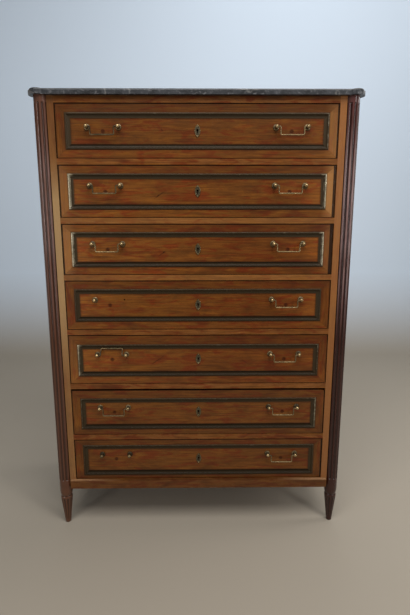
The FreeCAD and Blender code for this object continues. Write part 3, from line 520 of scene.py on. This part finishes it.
for number in range(1, 8):
    front = Front(number)
    front.tone_and_painted_glow()
    front.strips()
    front.dark_lines()
    front.scars()
    front.painted_shadow_edges()
    dress(f"drawer_{number}_front", front.done())
    dress(f"drawer_{number}_box", inner_y)
print("seven fronts dressed")

# %% [markdown]
# ## Marble
#
# The slab is a grey limestone marble: clouds of dark and pale grey, crossed by thin
# white threads that fork.  A thread is where a distorted noise passes one value, so
# the distance from that value, sharpened, draws it.  The stone is honed and waxed,
# so it shines softly.

# %% Marble
stone = Recipe("grey_marble", **{"IOR": 1.5, "Coat Weight": 0.1, "Coat Roughness": 0.2})
cloud = stone.noise(stone.place, 13.0, 8.0, 0.72, 1.0)
mottle = stone.noise(stone.place, 90.0, 5.0, 0.62, 0.8)
thread = stone.gap(stone.noise(stone.place, 2.2, 7.0, 0.5, 0.9), 0.5)
fork = stone.gap(stone.noise(stone.place, 6.0, 6.0, 0.55, 0.8), 0.52)
stone.coat = stone.mix(stone.ramp(cloud, 0.4, 0.6), (13, 13, 15), (46, 47, 50))
stone.lay((108, 107, 108), stone.ramp(mottle, 0.55, 0.68, 0, 0.8))
stone.lay((112, 110, 108), stone.ramp(fork, 0.0, 0.008, 0.22, 0))
stone.lay((136, 132, 126), stone.ramp(thread, 0.0, 0.005, 0.5, 0))
stone.rough(stone.ramp(mottle, 0.3, 0.7, 0.34, 0.46))
stone.relief(mottle, 0.0002, 0.25)
dress("marble_top", stone.done())
print("slab dressed")

# %% [markdown]
# ## Fluted columns
#
# A column is a turned shaft with round-ended channels cut up its visible side.  On a
# grid of angle and height its radius is a formula: the shaft, less the channel of a
# round cutter whose axis stands just outside.  At a channel's end the cutter's radius
# shrinks as on a ball.  Joining the two surfaces with a soft minimum leaves the ridges
# very slightly rounded, as use has done.
#
# The number "rub" is one on the shaft and zero in a channel.  The channels carry a
# painted shade, the ridges from about 0.75 m up a painted highlight, strongest on the
# right column, and the left column is browner.

# %% Columns
COLUMN, FLUTE, SINK = 0.024, 0.005, 0.003  # radii of shaft and cutter, depth of a channel
STEP, SHOWN = radians(36), 7  # from channel to channel, and how many a column has
PLAIN_BELOW, PLAIN_ABOVE = 0.042, 0.021  # the shaft without channels at foot and head


def fluted_radius(angle, reach, tool, past, shaft, soft=0.00022):
    """The radius at an angle from the middle channel: shaft or cutter, whichever is less.

    The near side of a circle of radius c whose centre is d away lies, at angle a, at
    d cos a - sqrt(c^2 - d^2 sin^2 a).  At p past a channel's end a tool of radius t
    cuts with c = sqrt(t^2 - p^2).  A soft minimum joins the cut to the shaft.
    """
    nearest = (angle + STEP / 2) % STEP - STEP / 2
    cutter = np.sqrt(np.maximum(tool**2 - past**2, 1e-12))
    inside = cutter**2 - (reach * np.sin(nearest)) ** 2
    cut = np.where(inside > 0, reach * np.cos(nearest) - np.sqrt(np.maximum(inside, 0)), shaft + 0.01)
    gap = np.clip((cut - shaft) / soft, -60, 60)
    return shaft - soft * np.log1p(np.exp(-gap)) * (gap < 60)


def column(side, facing):
    """One column: rows up the shaft, close together where the channels end."""
    low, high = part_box(f"column_{side}")
    axis = np.array([(low.x + high.x) / 2, (low.y + high.y) / 2])
    heel, head = low.z + PLAIN_BELOW + FLUTE, high.z - PLAIN_ABOVE - FLUTE
    ends = FLUTE * np.sin(np.linspace(0, pi / 2, 12))
    z = np.concatenate([[low.z, low.z + 0.01, heel - FLUTE - 0.004], (heel - ends)[::-1],
                        np.linspace(heel, head, 26)[1:-1], head + ends,
                        [head + FLUTE + 0.004, high.z]])
    angle = whole_turn(320)
    height, turn = np.meshgrid(z, angle, indexing="ij")
    past = np.maximum(np.maximum(heel - height, height - head), 0)
    away = (turn - radians(facing) + pi) % (2 * pi) - pi
    radius = fluted_radius(away, COLUMN + FLUTE - SINK, FLUTE, past, COLUMN)
    radius = np.where(np.abs(away) < SHOWN / 2 * STEP, radius, COLUMN)
    points = np.stack([axis[0] + radius * np.cos(turn), axis[1] + radius * np.sin(turn), height], -1)
    depth = (COLUMN - radius) / SINK
    piece = skin(f"fluted_column_{side}", [points[:, ::-1]], "carcass", mahogany,
                 marks=[1 - depth[:, ::-1]])
    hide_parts(f"column_{side}")
    return piece


turned = Recipe("dark_mahogany", **{"Coat Weight": 0.8, "Coat Roughness": 0.18, "IOR": 1.42,
                                    "Specular IOR Level": 0.1})
wood(turned, grain_along(turned, "z"), seed=31, dark=(30, 14, 11), middle=(66, 31, 25),
     light=(86, 44, 35), tint=(78, 38, 27), red=(74, 26, 22))
proud = turned.attribute("rub")
x, _, z = turned.split(turned.place)
on_left, on_right = turned.math("LESS_THAN", x, 0.0), turned.math("GREATER_THAN", x, 0.0)
turned.lay((96, 62, 42), on_left, turned.ramp(z, 0.14, 0.16, 0.75, 0.6))
turned.lay((38, 16, 10), on_right, turned.ramp(z, 0.7, 1.1, 0.6, 0.0))
patchy = turned.ramp(turned.noise(turned.place, 9.0, 4.0, 0.6, 0.5), 0.35, 0.6, 0.5, 1)
# Painted highlight on the ridges from about 0.75 m up, stronger on the right column.
wear_and_sheen = turned.times(turned.ramp(z, 0.75, 1.1, 0, 0.36), turned.ramp(z, 1.35, 1.5, 1, 0.15),
                    turned.ramp(x, -0.01, 0.01, 1.0, 1.8))
turned.lay((168, 140, 134), turned.ramp(proud, 0.93, 1.0), patchy, wear_and_sheen)
# Painted shade in the channels.
turned.lay((26, 14, 10), turned.ramp(proud, 0.0, 0.9, 0.7, 0))
mahogany = turned.done()
for side, facing in (("left", 225), ("right", 315)):
    print(column(side, facing).name)

# %% [markdown]
# ## Turned feet
#
# Each front foot comes off the lathe as one profile: a flare under the column, a
# pinch, a round shoulder, and a long taper to a small toe.  The taper is then fluted
# like the column, with a cutter that narrows as the foot does.  The radius at each
# height and angle follows the same formula as before; only its sizes change with
# height, and past the flutes' ends the cutter shrinks to nothing.

# %% Feet
# The profile: heights in metres, radii given in millimetres.
FOOT = np.array([[0.000, 9.24], [0.00135, 10.45], [0.0045, 11], [0.009, 11], [0.112, 22.5],
                 [0.1144, 22.5], [0.1168, 22.16], [0.119, 21.15], [0.120, 20], [0.1275, 22.48],
                 [0.13625, 23.68], [0.145, 24]]) / [1, 1000]
FOOT_LOW, FOOT_HIGH = 0.015, 0.106  # where the channels' straight part begins and ends
TOOL_LOW, TOOL_HIGH = 0.0023, 0.0042  # the cutter's radius there
PINCH = 0.12  # the height of the narrowest place


def foot(x, y, facing):
    """One foot: the lathe profile with eased corners, less ten channels that narrow with the taper."""
    round_ends = np.sin(np.linspace(0, pi / 2, 9))
    z = np.unique(np.concatenate([
        FOOT[:, 0], np.linspace(0.10, 0.145, 60), np.linspace(0, 0.012, 10),
        np.linspace(FOOT_LOW, FOOT_HIGH, 24), FOOT_LOW - TOOL_LOW * round_ends,
        FOOT_HIGH + TOOL_HIGH * round_ends]))
    shaft = np.interp(z, *FOOT.T)
    eased = (z > 0.108) & (z < 0.1375)
    smooth = np.interp(np.add.outer(z, np.linspace(-0.0012, 0.0012, 9)), *FOOT.T).mean(1)
    shaft = np.where(eased, smooth, shaft)[:, None]
    part = np.clip((z - FOOT_LOW) / (FOOT_HIGH - FOOT_LOW), 0, 1)[:, None]
    past = np.maximum(np.maximum(FOOT_LOW - z, z - FOOT_HIGH), 0)[:, None]
    tool, sink = TOOL_LOW + (TOOL_HIGH - TOOL_LOW) * part, 0.0014 + 0.0012 * part
    taper = np.interp(np.clip(z, FOOT_LOW, FOOT_HIGH), *FOOT.T)[:, None]
    turn = whole_turn(260)[::-1]
    radius = fluted_radius(turn - radians(facing), taper + tool - sink, tool, past, shaft, 0.00016)
    # Painted shade in the pinch; through rub the channels get the painted shade of the columns.
    dark_pinch = 1 - 0.9 * np.exp(-((z - PINCH) / 0.0022) ** 2)[:, None]
    rub = (1 - np.clip((shaft - radius) / 0.0022, 0, 1)) * dark_pinch
    return np.stack([x + radius * np.cos(turn), y + radius * np.sin(turn), z[:, None] + 0 * turn], -1), rub


low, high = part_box("front_feet")
grids, rubs = zip(*[foot(sign * (high.x - COLUMN), (low.y + high.y) / 2, facing)
                    for sign, facing in ((-1, 225), (1, 315))])
feet = skin("turned_feet", grids, "carcass", mahogany, marks=rubs)
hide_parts("front_feet")

# %% [markdown]
# ## Brass
#
# Old brass is never one colour.  Where hands rub it, it is gold and fairly bright;
# in its hollows it turns brown, and here and there green.  Each brass piece therefore
# carries a number per point, "rub", that is near one on its crests and near zero in
# its hollows, and the finish mixes patina by that number and a noise.  Below zero
# the number stands for grime: nearly black, with hardly any shine.

# %% Brass finishes
def brass(name, bright, dull, green, wear_and_sheen, rough, metal):
    """Brass that is bright where "rub" is high, patinated near zero and grimy below it."""
    recipe = Recipe(name, **{"Coat Weight": 0.06, "Coat Roughness": 0.12})
    rub = recipe.attribute("rub")
    stain = recipe.noise(recipe.place, 60.0, 5.0, 0.6, 0.5)
    bloom = recipe.noise(recipe.place, 17.0, 4.0, 0.6, 0.8)
    share = recipe.math("MULTIPLY", rub, recipe.ramp(stain, 0.3, 0.7, 0.55, 1.25), clamp=True)
    recipe.coat = recipe.mix(recipe.ramp(share, wear_and_sheen, 1.0), dull, bright)
    recipe.lay(green, recipe.ramp(bloom, 0.5, 0.72, 0, 0.6))
    recipe.lay((24, 17, 9), recipe.ramp(rub, -0.4, 0.0, 1.0, 0.0))
    recipe.rough(recipe.ramp(share, 0.2, 1.0, rough + 0.22, rough))
    recipe.feed(recipe.shader.inputs["Metallic"], recipe.ramp(share, wear_and_sheen, 1.0, 0.3, metal))
    recipe.feed(recipe.shader.inputs["Specular IOR Level"], recipe.ramp(rub, -0.35, 0.0, 0.05, 0.2))
    recipe.relief(stain, 0.0002, 0.35)
    return recipe.done()


frame_brass = brass("frame_brass", bright=(190, 178, 150), dull=(58, 45, 28),
                    green=(58, 52, 36), wear_and_sheen=0.35, rough=0.26, metal=0.6)
handle_brass = brass("handle_brass", bright=(186, 158, 112), dull=(54, 42, 24),
                     green=(62, 58, 36), wear_and_sheen=0.25, rough=0.2, metal=0.85)

plate = Recipe("plate_brass", **{"Metallic": 0.45, "Specular IOR Level": 0.3})
stain = plate.noise(plate.place, 45.0, 6.0, 0.65, 0.5)
plate.coat = plate.mix(plate.ramp(stain, 0.35, 0.7), (58, 50, 36), (92, 82, 62))
plate.rough(plate.ramp(stain, 0.3, 0.7, 0.5, 0.34))
plate_brass = plate.done()

iron = Recipe("filed_iron", **{"Metallic": 1.0})
scale = iron.noise(iron.place, (400, 400, 30), 3.0)
iron.coat = iron.mix(scale, (84, 78, 74), (132, 128, 124))
iron.rough(iron.ramp(scale, 0.2, 0.8, 0.35, 0.6))
filed_iron = iron.done()

for number in range(1, 8):
    dress(f"drawer_{number}_brasses", plate_brass)
    dress(f"drawer_{number}_bolt", filed_iron)
print("brass and iron are ready")

# %% [markdown]
# ## The brass frame of a panel
#
# The frame is a long strip of drawn brass, mitred at four corners: an outer bead and
# a hollow that runs down to the wood.  Its section is a short closed curve of inward
# distance and height.  Carried round the panel, an inward distance u turns each side
# of the rectangle into one that is u smaller all round, and that alone makes the
# mitres.  A faint ripple along each side keeps the reflections from looking ruled.
# The upright strips of some frames carry a painted glint of the windows; every lower
# strip is grimy.

# %% Panel frames
# The painted glint of the windows on the upright strips of some frames.
PAINTED_GLINTS = {1: (0, 0.1), 2: (1.0, 0.6), 3: (0.85, 0.65), 5: (0.55, 0.1), 6: (0.1, 0.3)}  # left, right
GRIME = 0.48  # how far below its usual rub a lower strip is


def frame_section():
    """The closed section: outer foot, bead as an arc, quirk, cove as an arc, lip, inner foot.

    It comes as inward distance and height, worked out in millimetres and given in
    metres, then rub, and the painted glint that some upright strips get.
    """
    wide = 1000 * FRAME_WIDE
    bead = np.linspace(radians(200), radians(-20), 12)
    hollow = np.linspace(0, pi / 2, 12)
    crest = np.sin((bead + radians(20)) * pi / radians(220))
    inward = np.concatenate([[0, 0], 3.0 + 3.0 * np.cos(bead), [6.2], 6.4 + 9.0 * (1 - np.cos(hollow)),
                             [wide, wide]])
    height = np.concatenate([[0, 4.2], 5.0 + 1.4 * np.sin(bead), [4.3], 0.9 + 3.2 * (1 - np.sin(hollow)),
                             [0.85, 0]])
    rub = np.concatenate([[0.1, 0.1], 0.15 + 0.2 * crest, [0.0], 0.1 + 0.2 * np.sin(hollow * 2), [0.0, 0.0]])
    glint = np.concatenate([[0, 0], 0.9 * crest, [0.3], 0.5 * np.exp(-((hollow - 0.4) / 0.3) ** 2),
                            [0.5, 0.0]])
    return np.clip(inward, 0, wide) / 1000, height / 1000, rub, glint


def panel_frame(number):
    """One frame: the section carried round the panel, mitred by the shrinking rectangle."""
    low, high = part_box(f"drawer_{number}_moulding")
    half = np.array([(high.x - low.x) / 2, (high.z - low.z) / 2])
    middle, back = (low.z + high.z) / 2, high.y
    inward, height, rub, glint = frame_section()
    corners = np.array([[-1, 1], [1, 1], [1, -1], [-1, -1], [-1, 1]])
    step = np.linspace(0, 1, 48, endpoint=False)[:, None]
    around = np.concatenate([start + (end - start) * step for start, end in zip(corners, corners[1:])])
    across, up = around[:, :1], around[:, 1:]
    wave = ripple(across * half[0] + up * half[1], 0, number, 0.00012) * (height > 0.002)
    points = np.stack([across * (half[0] - inward), back - height + wave,
                       middle + up * (half[1] - inward)], -1)
    left, right = PAINTED_GLINTS.get(number, (0, 0))
    # Painted glint on the upright strips that the table names; every lower strip grimy.
    rub = rub - GRIME * (up == -1) + glint * (left * (across == -1) + right * (across == 1))
    piece = skin(f"panel_frame_{number}", [points], f"drawer_{number}", frame_brass,
                 wrap=(True, True), marks=[np.clip(rub, -0.4, 1.2)], crease=35)
    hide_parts(f"drawer_{number}_moulding")


for number in range(1, 8):
    panel_frame(number)

# %% [markdown]
# ## Bail handles
#
# A bail is a thick wire bent four times: two pins, two arms and a bar.  Its centre
# line is a path of straight runs and quarter circles in one plane; a circle carried
# along it makes the wire.  The bar is a little fuller in its middle.  The whole is
# then turned about its pins to the angle at which it hangs or leans.  A few bails are
# duller than the rest, a painted shade where less light reaches them.

# %% Bails
SPAN, DROP = 0.079, 0.027  # from arm to arm, from the pins down to the bar
BEND, WIRE, PIN = 0.0036, 0.0023, 0.0545  # radii of a bend and of the wire; half the length over the pins
THROWN_UP = radians(210)  # how far the bail that leans on the panel is turned
# Painted shade: bails that less light reaches are made duller.
SHADED_BAILS = {(1, "left"): 0.36, (2, "left"): 0.25, (6, "left"): 0.1, (1, "right"): 0.05}  # rub taken off


def bent_path(corners, bend):
    """Points along straight runs whose corners are arcs of one radius, and their headings."""
    corners = np.array(corners, float)
    runs = np.diff(corners, axis=0)
    heading = runs / np.linalg.norm(runs, axis=1)[:, None]
    points, ways = [corners[:1]], [heading[:1]]
    for i in range(1, len(corners) - 1):
        before, after = heading[i - 1], heading[i]
        turn = np.linspace(0, pi / 2, 9)[:, None]
        centre = corners[i] + bend * (after - before)
        points.append(centre + bend * (before * np.sin(turn) - after * np.cos(turn)))
        ways.append(before * np.cos(turn) + after * np.sin(turn))
    return np.vstack(points + [corners[-1:]]), np.vstack(ways + [heading[-1:]])


def refined(points, ways, pace=0.004):
    """Points no further apart than the pace, with headings in between."""
    gaps = np.linalg.norm(np.diff(points, axis=0), axis=1)
    place = np.concatenate([[0], np.cumsum(gaps)])
    spots = np.unique(np.concatenate([place, np.arange(0, place[-1], pace)]))
    even = np.stack([np.interp(spots, place, points[:, i]) for i in range(2)], -1)
    lead = np.stack([np.interp(spots, place, ways[:, i]) for i in range(2)], -1)
    return even, lead / np.linalg.norm(lead, axis=1)[:, None]


def bail(number, side):
    """One bail as a tube round its bent path, turned to its rest angle."""
    joint = joints[f"bail_{number}_{side}_swing"]
    arm = SPAN / 2
    corners = [(-PIN, 0), (-arm, 0), (-arm, -DROP), (arm, -DROP), (arm, 0), (PIN, 0)]
    path, way = refined(*bent_path(corners, BEND))
    ring = whole_turn(20)
    full = np.exp(-(path[:, 0] / 0.022) ** 2) * (path[:, 1] < -DROP * 0.9)
    radius = WIRE * (1 + 0.12 * full)[:, None]
    normal = np.stack([-way[:, 1], way[:, 0]], -1)
    x = path[:, :1] + radius * np.cos(ring) * normal[:, :1]
    z = path[:, 1:] + radius * np.cos(ring) * normal[:, 1:]
    y = radius * np.sin(ring) + 0 * x
    lean = -THROWN_UP if joint["range_deg"][1] <= 0 else 0.0
    y, z = y * cos(lean) - z * sin(lean), y * sin(lean) + z * cos(lean)
    points = np.stack([x, y, z], -1) + joint["pos_m"]
    rub = 0.3 + 0.4 * np.clip(-np.sin(ring + 0.6), 0, 1) + 0.15 * (path[:, 1:] < -DROP * 0.8)
    rub -= SHADED_BAILS.get((number, side), 0)
    piece = skin(f"bail_{number}_{side}", [points], f"bail_{number}_{side}", handle_brass,
                 marks=[rub])
    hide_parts(f"drawer_{number}_bail_{side}")


bails = [name.split("_")[1:3] for name in joints if name.startswith("bail")]
for number, side in bails:
    bail(int(number), side)
print(len(bails), "bails")

# %% [markdown]
# ## Handle posts
#
# A bail turns in two posts.  Each is a turned knob on a short stem, standing on a
# round domed rose.  The solids already hold a plain post; this skin goes over it and
# brings the turned profile, a list of heights above the panel and radii.  One post is
# lost, and those of two handles are dull.

# %% Posts
# The profile of rose, stem and collar, and the ball at its end, in millimetres.
POST = np.array([[0.0, 10.3], [1.0, 10.6], [2.0, 10.3], [2.9, 9.5], [3.6, 8.2], [4.1, 6.6],
                 [4.3, 5.4], [4.9, 4.8], [6.0, 4.1], [9.6, 3.8], [10.2, 4.9], [11.0, 5.1], [11.6, 4.6]])
BALL, BALL_OUT = 6.62, 18  # its radius, and how far its centre stands off the panel
POST_X = 0.053  # from the middle of a handle to a post
LOST_POSTS = {(4, "left", 1)}
DULL_POSTS = {(7, "left"): 0.32, (6, "right"): 0.15}  # rub taken off
PANEL_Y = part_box("drawer_1_moulding")[1].y


def round_axis(x, y, z, radius, turn):
    """Points at a radius and an angle round an axis that runs along Y through x and z."""
    return np.stack(np.broadcast_arrays(x + radius * np.cos(turn), y, z + radius * np.sin(turn)), -1)


def post(x, z, dull):
    """One post: a profile of rose, stem and collar, then the ball, turned about a level axis."""
    ball = np.linspace(np.arcsin(POST[-1, 1] / BALL), pi - 0.06, 18)
    out = np.concatenate([POST[:, 0], BALL_OUT - BALL * np.cos(ball)])
    wide = np.concatenate([POST[:, 1], BALL * np.sin(ball)])[:, None] / 1000
    points = round_axis(x, PANEL_Y - out[:, None] / 1000, z, wide, whole_turn(56))
    rub = np.where(out < 4.2, 0.45, np.where(out < 12, 0.1, 0.9)) - dull
    return points, rub[:, None]


for number in range(1, 8):
    pivot_z = joints[f"bail_{number}_right_swing"]["pos_m"][2]
    grids, rubs = zip(*[post(sign * HANDLE_X + arm * POST_X, pivot_z, DULL_POSTS.get((number, side), 0))
                        for side, sign in (("left", -1), ("right", 1)) for arm in (-1, 1)
                        if (number, side, arm) not in LOST_POSTS])
    skin(f"handle_posts_{number}", grids, f"drawer_{number}", handle_brass, marks=rubs)
print("posts stand", round(BALL_OUT + BALL, 1), "mm off the panel")

# %% [markdown]
# ## Keyhole plates
#
# Each plate is a pointed oval: where two circles overlap.  The solids hold it as a
# flat plate with its keyhole.  This piece adds what a caster would: a raised rim that
# follows the outline, a lip round the keyhole and two pins.  An inward distance from
# the outline only shrinks the circles' radius, so the rim is easy to follow round.
# Round heads in other sizes make the screws of the lock and the nails of the back.

# %% Keyhole plates
PLATE_HIGH, PLATE_WIDE, PLATE = 0.042, 0.020, 0.0016  # the last is its thickness
PLATE_UP, KEYHOLE_UP = 0.0015, 0.004  # middle of the plate and of the keyhole above the front's middle
KEYHOLE, SLOT, SLOT_DOWN = 0.0032, 0.0015, 0.010  # radius, half the slot's width, its reach down
SUNK = 0.0002  # how deep the heads sit in what they hold


def plate_rim(z):
    """A bead along the pointed oval: its section rises 1.1 mm and falls back 2.4 mm inward."""
    reach = (PLATE_HIGH**2 + PLATE_WIDE**2) / (4 * PLATE_WIDE)
    inset = reach - PLATE_WIDE / 2
    arc = np.linspace(0, pi, 10)
    inward = np.concatenate([1.25 - 1.2 * np.cos(arc), [2.45, 0.05]]) / 1000
    height = np.concatenate([PLATE + 0.0011 * np.sin(arc), [PLATE - 0.0006, PLATE - 0.0006]])
    part = np.linspace(-1, 1, 40, endpoint=False)
    most = np.arccos(inset / (reach - inward))
    angle = part[:, None] * most
    right = np.stack([(reach - inward) * np.cos(angle) - inset, (reach - inward) * np.sin(angle)], -1)
    path = np.concatenate([right, -right])
    rub = np.concatenate([0.2 + 0.35 * np.sin(arc), [0.1, 0.1]])
    return np.stack([path[..., 0], PANEL_Y - height + 0 * path[..., 0], z + path[..., 1]], -1), rub


def keyhole_lip(z):
    """A low ridge round the keyhole, whose outline is the further of a circle and a slot."""
    turn = whole_turn(72)[:, None]
    down = np.maximum(-np.sin(turn), 1e-6)
    slot = np.minimum(SLOT_DOWN / down, SLOT / np.maximum(np.abs(np.cos(turn)), 1e-6)) * (np.sin(turn) < 0)
    edge = np.maximum(KEYHOLE, slot)
    arc = np.linspace(0, pi, 7)
    outward = np.concatenate([0.0006 - 0.0005 * np.cos(arc), [0.0011, 0.0001]])
    height = np.concatenate([PLATE + 0.0006 * np.sin(arc), [PLATE - 0.0005, PLATE - 0.0005]])
    reach = edge + outward
    return round_axis(0, PANEL_Y - height, z, reach, turn)[:, ::-1], 0.3


def dome(x, y, z, radius, rise, out=-1):
    """A round head: radius r sin a at height rise cos a, standing out along Y."""
    lean = np.linspace(pi / 2, 0.05, 7)[:, None]
    return round_axis(x, y + out * rise * np.cos(lean), z, radius * np.sin(lean), whole_turn(14) * -out)


for number in range(1, 8):
    low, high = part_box(f"drawer_{number}_front")
    middle = (low.z + high.z) / 2
    grids, rubs = zip(plate_rim(middle + PLATE_UP), keyhole_lip(middle + KEYHOLE_UP))
    skin(f"plate_rim_{number}", grids, f"drawer_{number}", handle_brass,
         wrap=(True, True), marks=rubs)
    pins = [dome(0, PANEL_Y - PLATE + SUNK, middle + PLATE_UP + rise, 0.0013, 0.0009)
            for rise in (-0.0155, 0.0155)]
    screws = [dome(across, high.y - SUNK, middle + rise, 0.0032, 0.0009, 1)
              for across in (-0.025, 0.025) for rise in (-0.008, 0.045)]
    skin(f"plate_pins_{number}", pins + screws, f"drawer_{number}", handle_brass)
nail_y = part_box("back_boards")[1].y - SUNK
nails = [dome(x, nail_y, z, 0.0035, 0.0012, 1) for x in (-0.49, -0.345, -0.323, 0.323, 0.345, 0.49)
         for z in np.linspace(0.2, 1.58, 8)]
skin("back_nails", nails, "carcass", filed_iron)
print("plates, pins and", len(nails), "nails")

# %% [markdown]
# ## Floor, light and camera
#
# The chest stands on a plain pale floor that curves up into a pale wall.  Polished
# wood and brass need something to mirror, so two lamps as tall and narrow as windows
# stand where the columns and the ends of the front mirror them, and a third stands
# beside the chest.  A broad one overhead does most of the soft work, one behind keeps
# the back readable, one washes down the wall, and the world adds a little to it all.

# %% Stage
FLOOR_FRONT, WALL_TOP, HALF_WIDE = -9.0, 9.0, 16.0  # the ends of floor and wall, in metres
WALL_Y, CURVE = 2.7, 0.7  # where the wall stands, and how round its foot is

floor = Recipe("pale_floor", **{"Roughness": 0.9})
height = floor.split(floor.place)[2]
floor.coat = floor.mix(floor.ramp(height, 0.0, CURVE), (152, 142, 127), (226, 240, 255))
lean = np.linspace(0, pi / 2, 24)
foot_of_wall = np.stack([WALL_Y - CURVE + CURVE * np.sin(lean), CURVE - CURVE * np.cos(lean)], -1)
curve = np.concatenate([[[FLOOR_FRONT, 0.0]], foot_of_wall, [[WALL_Y, WALL_TOP]]])
left = np.insert(curve, 0, -HALF_WIDE, axis=1)
right = left * [-1, 1, 1]
count = len(curve)
mesh = bpy.data.meshes.new("floor")
mesh.from_pydata(np.vstack([left, right]).tolist(), [],
                 [[i, i + count, i + count + 1, i + 1] for i in range(count - 1)])
mesh.polygons.foreach_set("use_smooth", np.ones(count - 1, bool))
mesh.materials.append(floor.done())
stage = put("floor", mesh)


def lamp(name, place, aim, wide, high, watts):
    """A soft lamp like a window, at a place and turned to face a point."""
    light = bpy.data.lights.new(name, "AREA")
    light.shape, light.size, light.size_y, light.energy = "RECTANGLE", wide, high, watts
    holder = put(name, light)
    direction = np.array(aim) - np.array(place)
    yaw = np.arctan2(direction[0], -direction[1])
    pitch = np.arctan2(np.hypot(direction[0], direction[1]), -direction[2])
    holder.location, holder.rotation_euler = place, Euler((pitch, 0, yaw + pi), "XYZ")


lamp("right_window", (2.1, -2.3, 1.6), (0.2, -0.2, 1.1), 0.45, 1.3, 21)
lamp("left_window", (-1.9, -2.3, 0.95), (-0.3, -0.2, 0.9), 0.5, 1.4, 12)
lamp("ceiling", (0.2, -1.9, 3.75), (0, 0, 0.6), 3.8, 1.9, 123)
lamp("behind", (0.6, 2.1, 4.6), (0, 0.2, 1.2), 1.6, 1.6, 16)
lamp("wall_wash", (2.2, 0.7, 4.4), (1.9, 2.7, 0.4), 4.0, 0.6, 34)
lamp("side_window", (2.6, 0.1, 1.6), (0.5, -0.2, 1.3), 0.6, 1.5, 18)
world = bpy.data.worlds.new("room")
bpy.context.scene.world = world
world.use_nodes = True
sky = next(one for one in world.node_tree.nodes if one.type == "BACKGROUND")
sky.inputs["Color"].default_value, sky.inputs["Strength"].default_value = (0.92, 0.96, 1.0, 1), 0.1

SENSOR, FOCAL, PICTURE = 36.0, 427.8, 615  # sensor height in mm; focal length and picture height in pixels
view = bpy.data.cameras.new("camera")
view.sensor_fit, view.sensor_height, view.lens = "VERTICAL", SENSOR, FOCAL / PICTURE * SENSOR
camera = put("camera", view)
camera.location = (0.0087, -1.7463, 1.1564)
camera.rotation_euler = Euler((radians(90 - 10.53), radians(0.05), radians(-0.62)), "XYZ")
bpy.context.scene.camera = camera
bpy.context.scene.view_settings.view_transform = "Standard"
print("camera at", [round(v, 3) for v in camera.location])
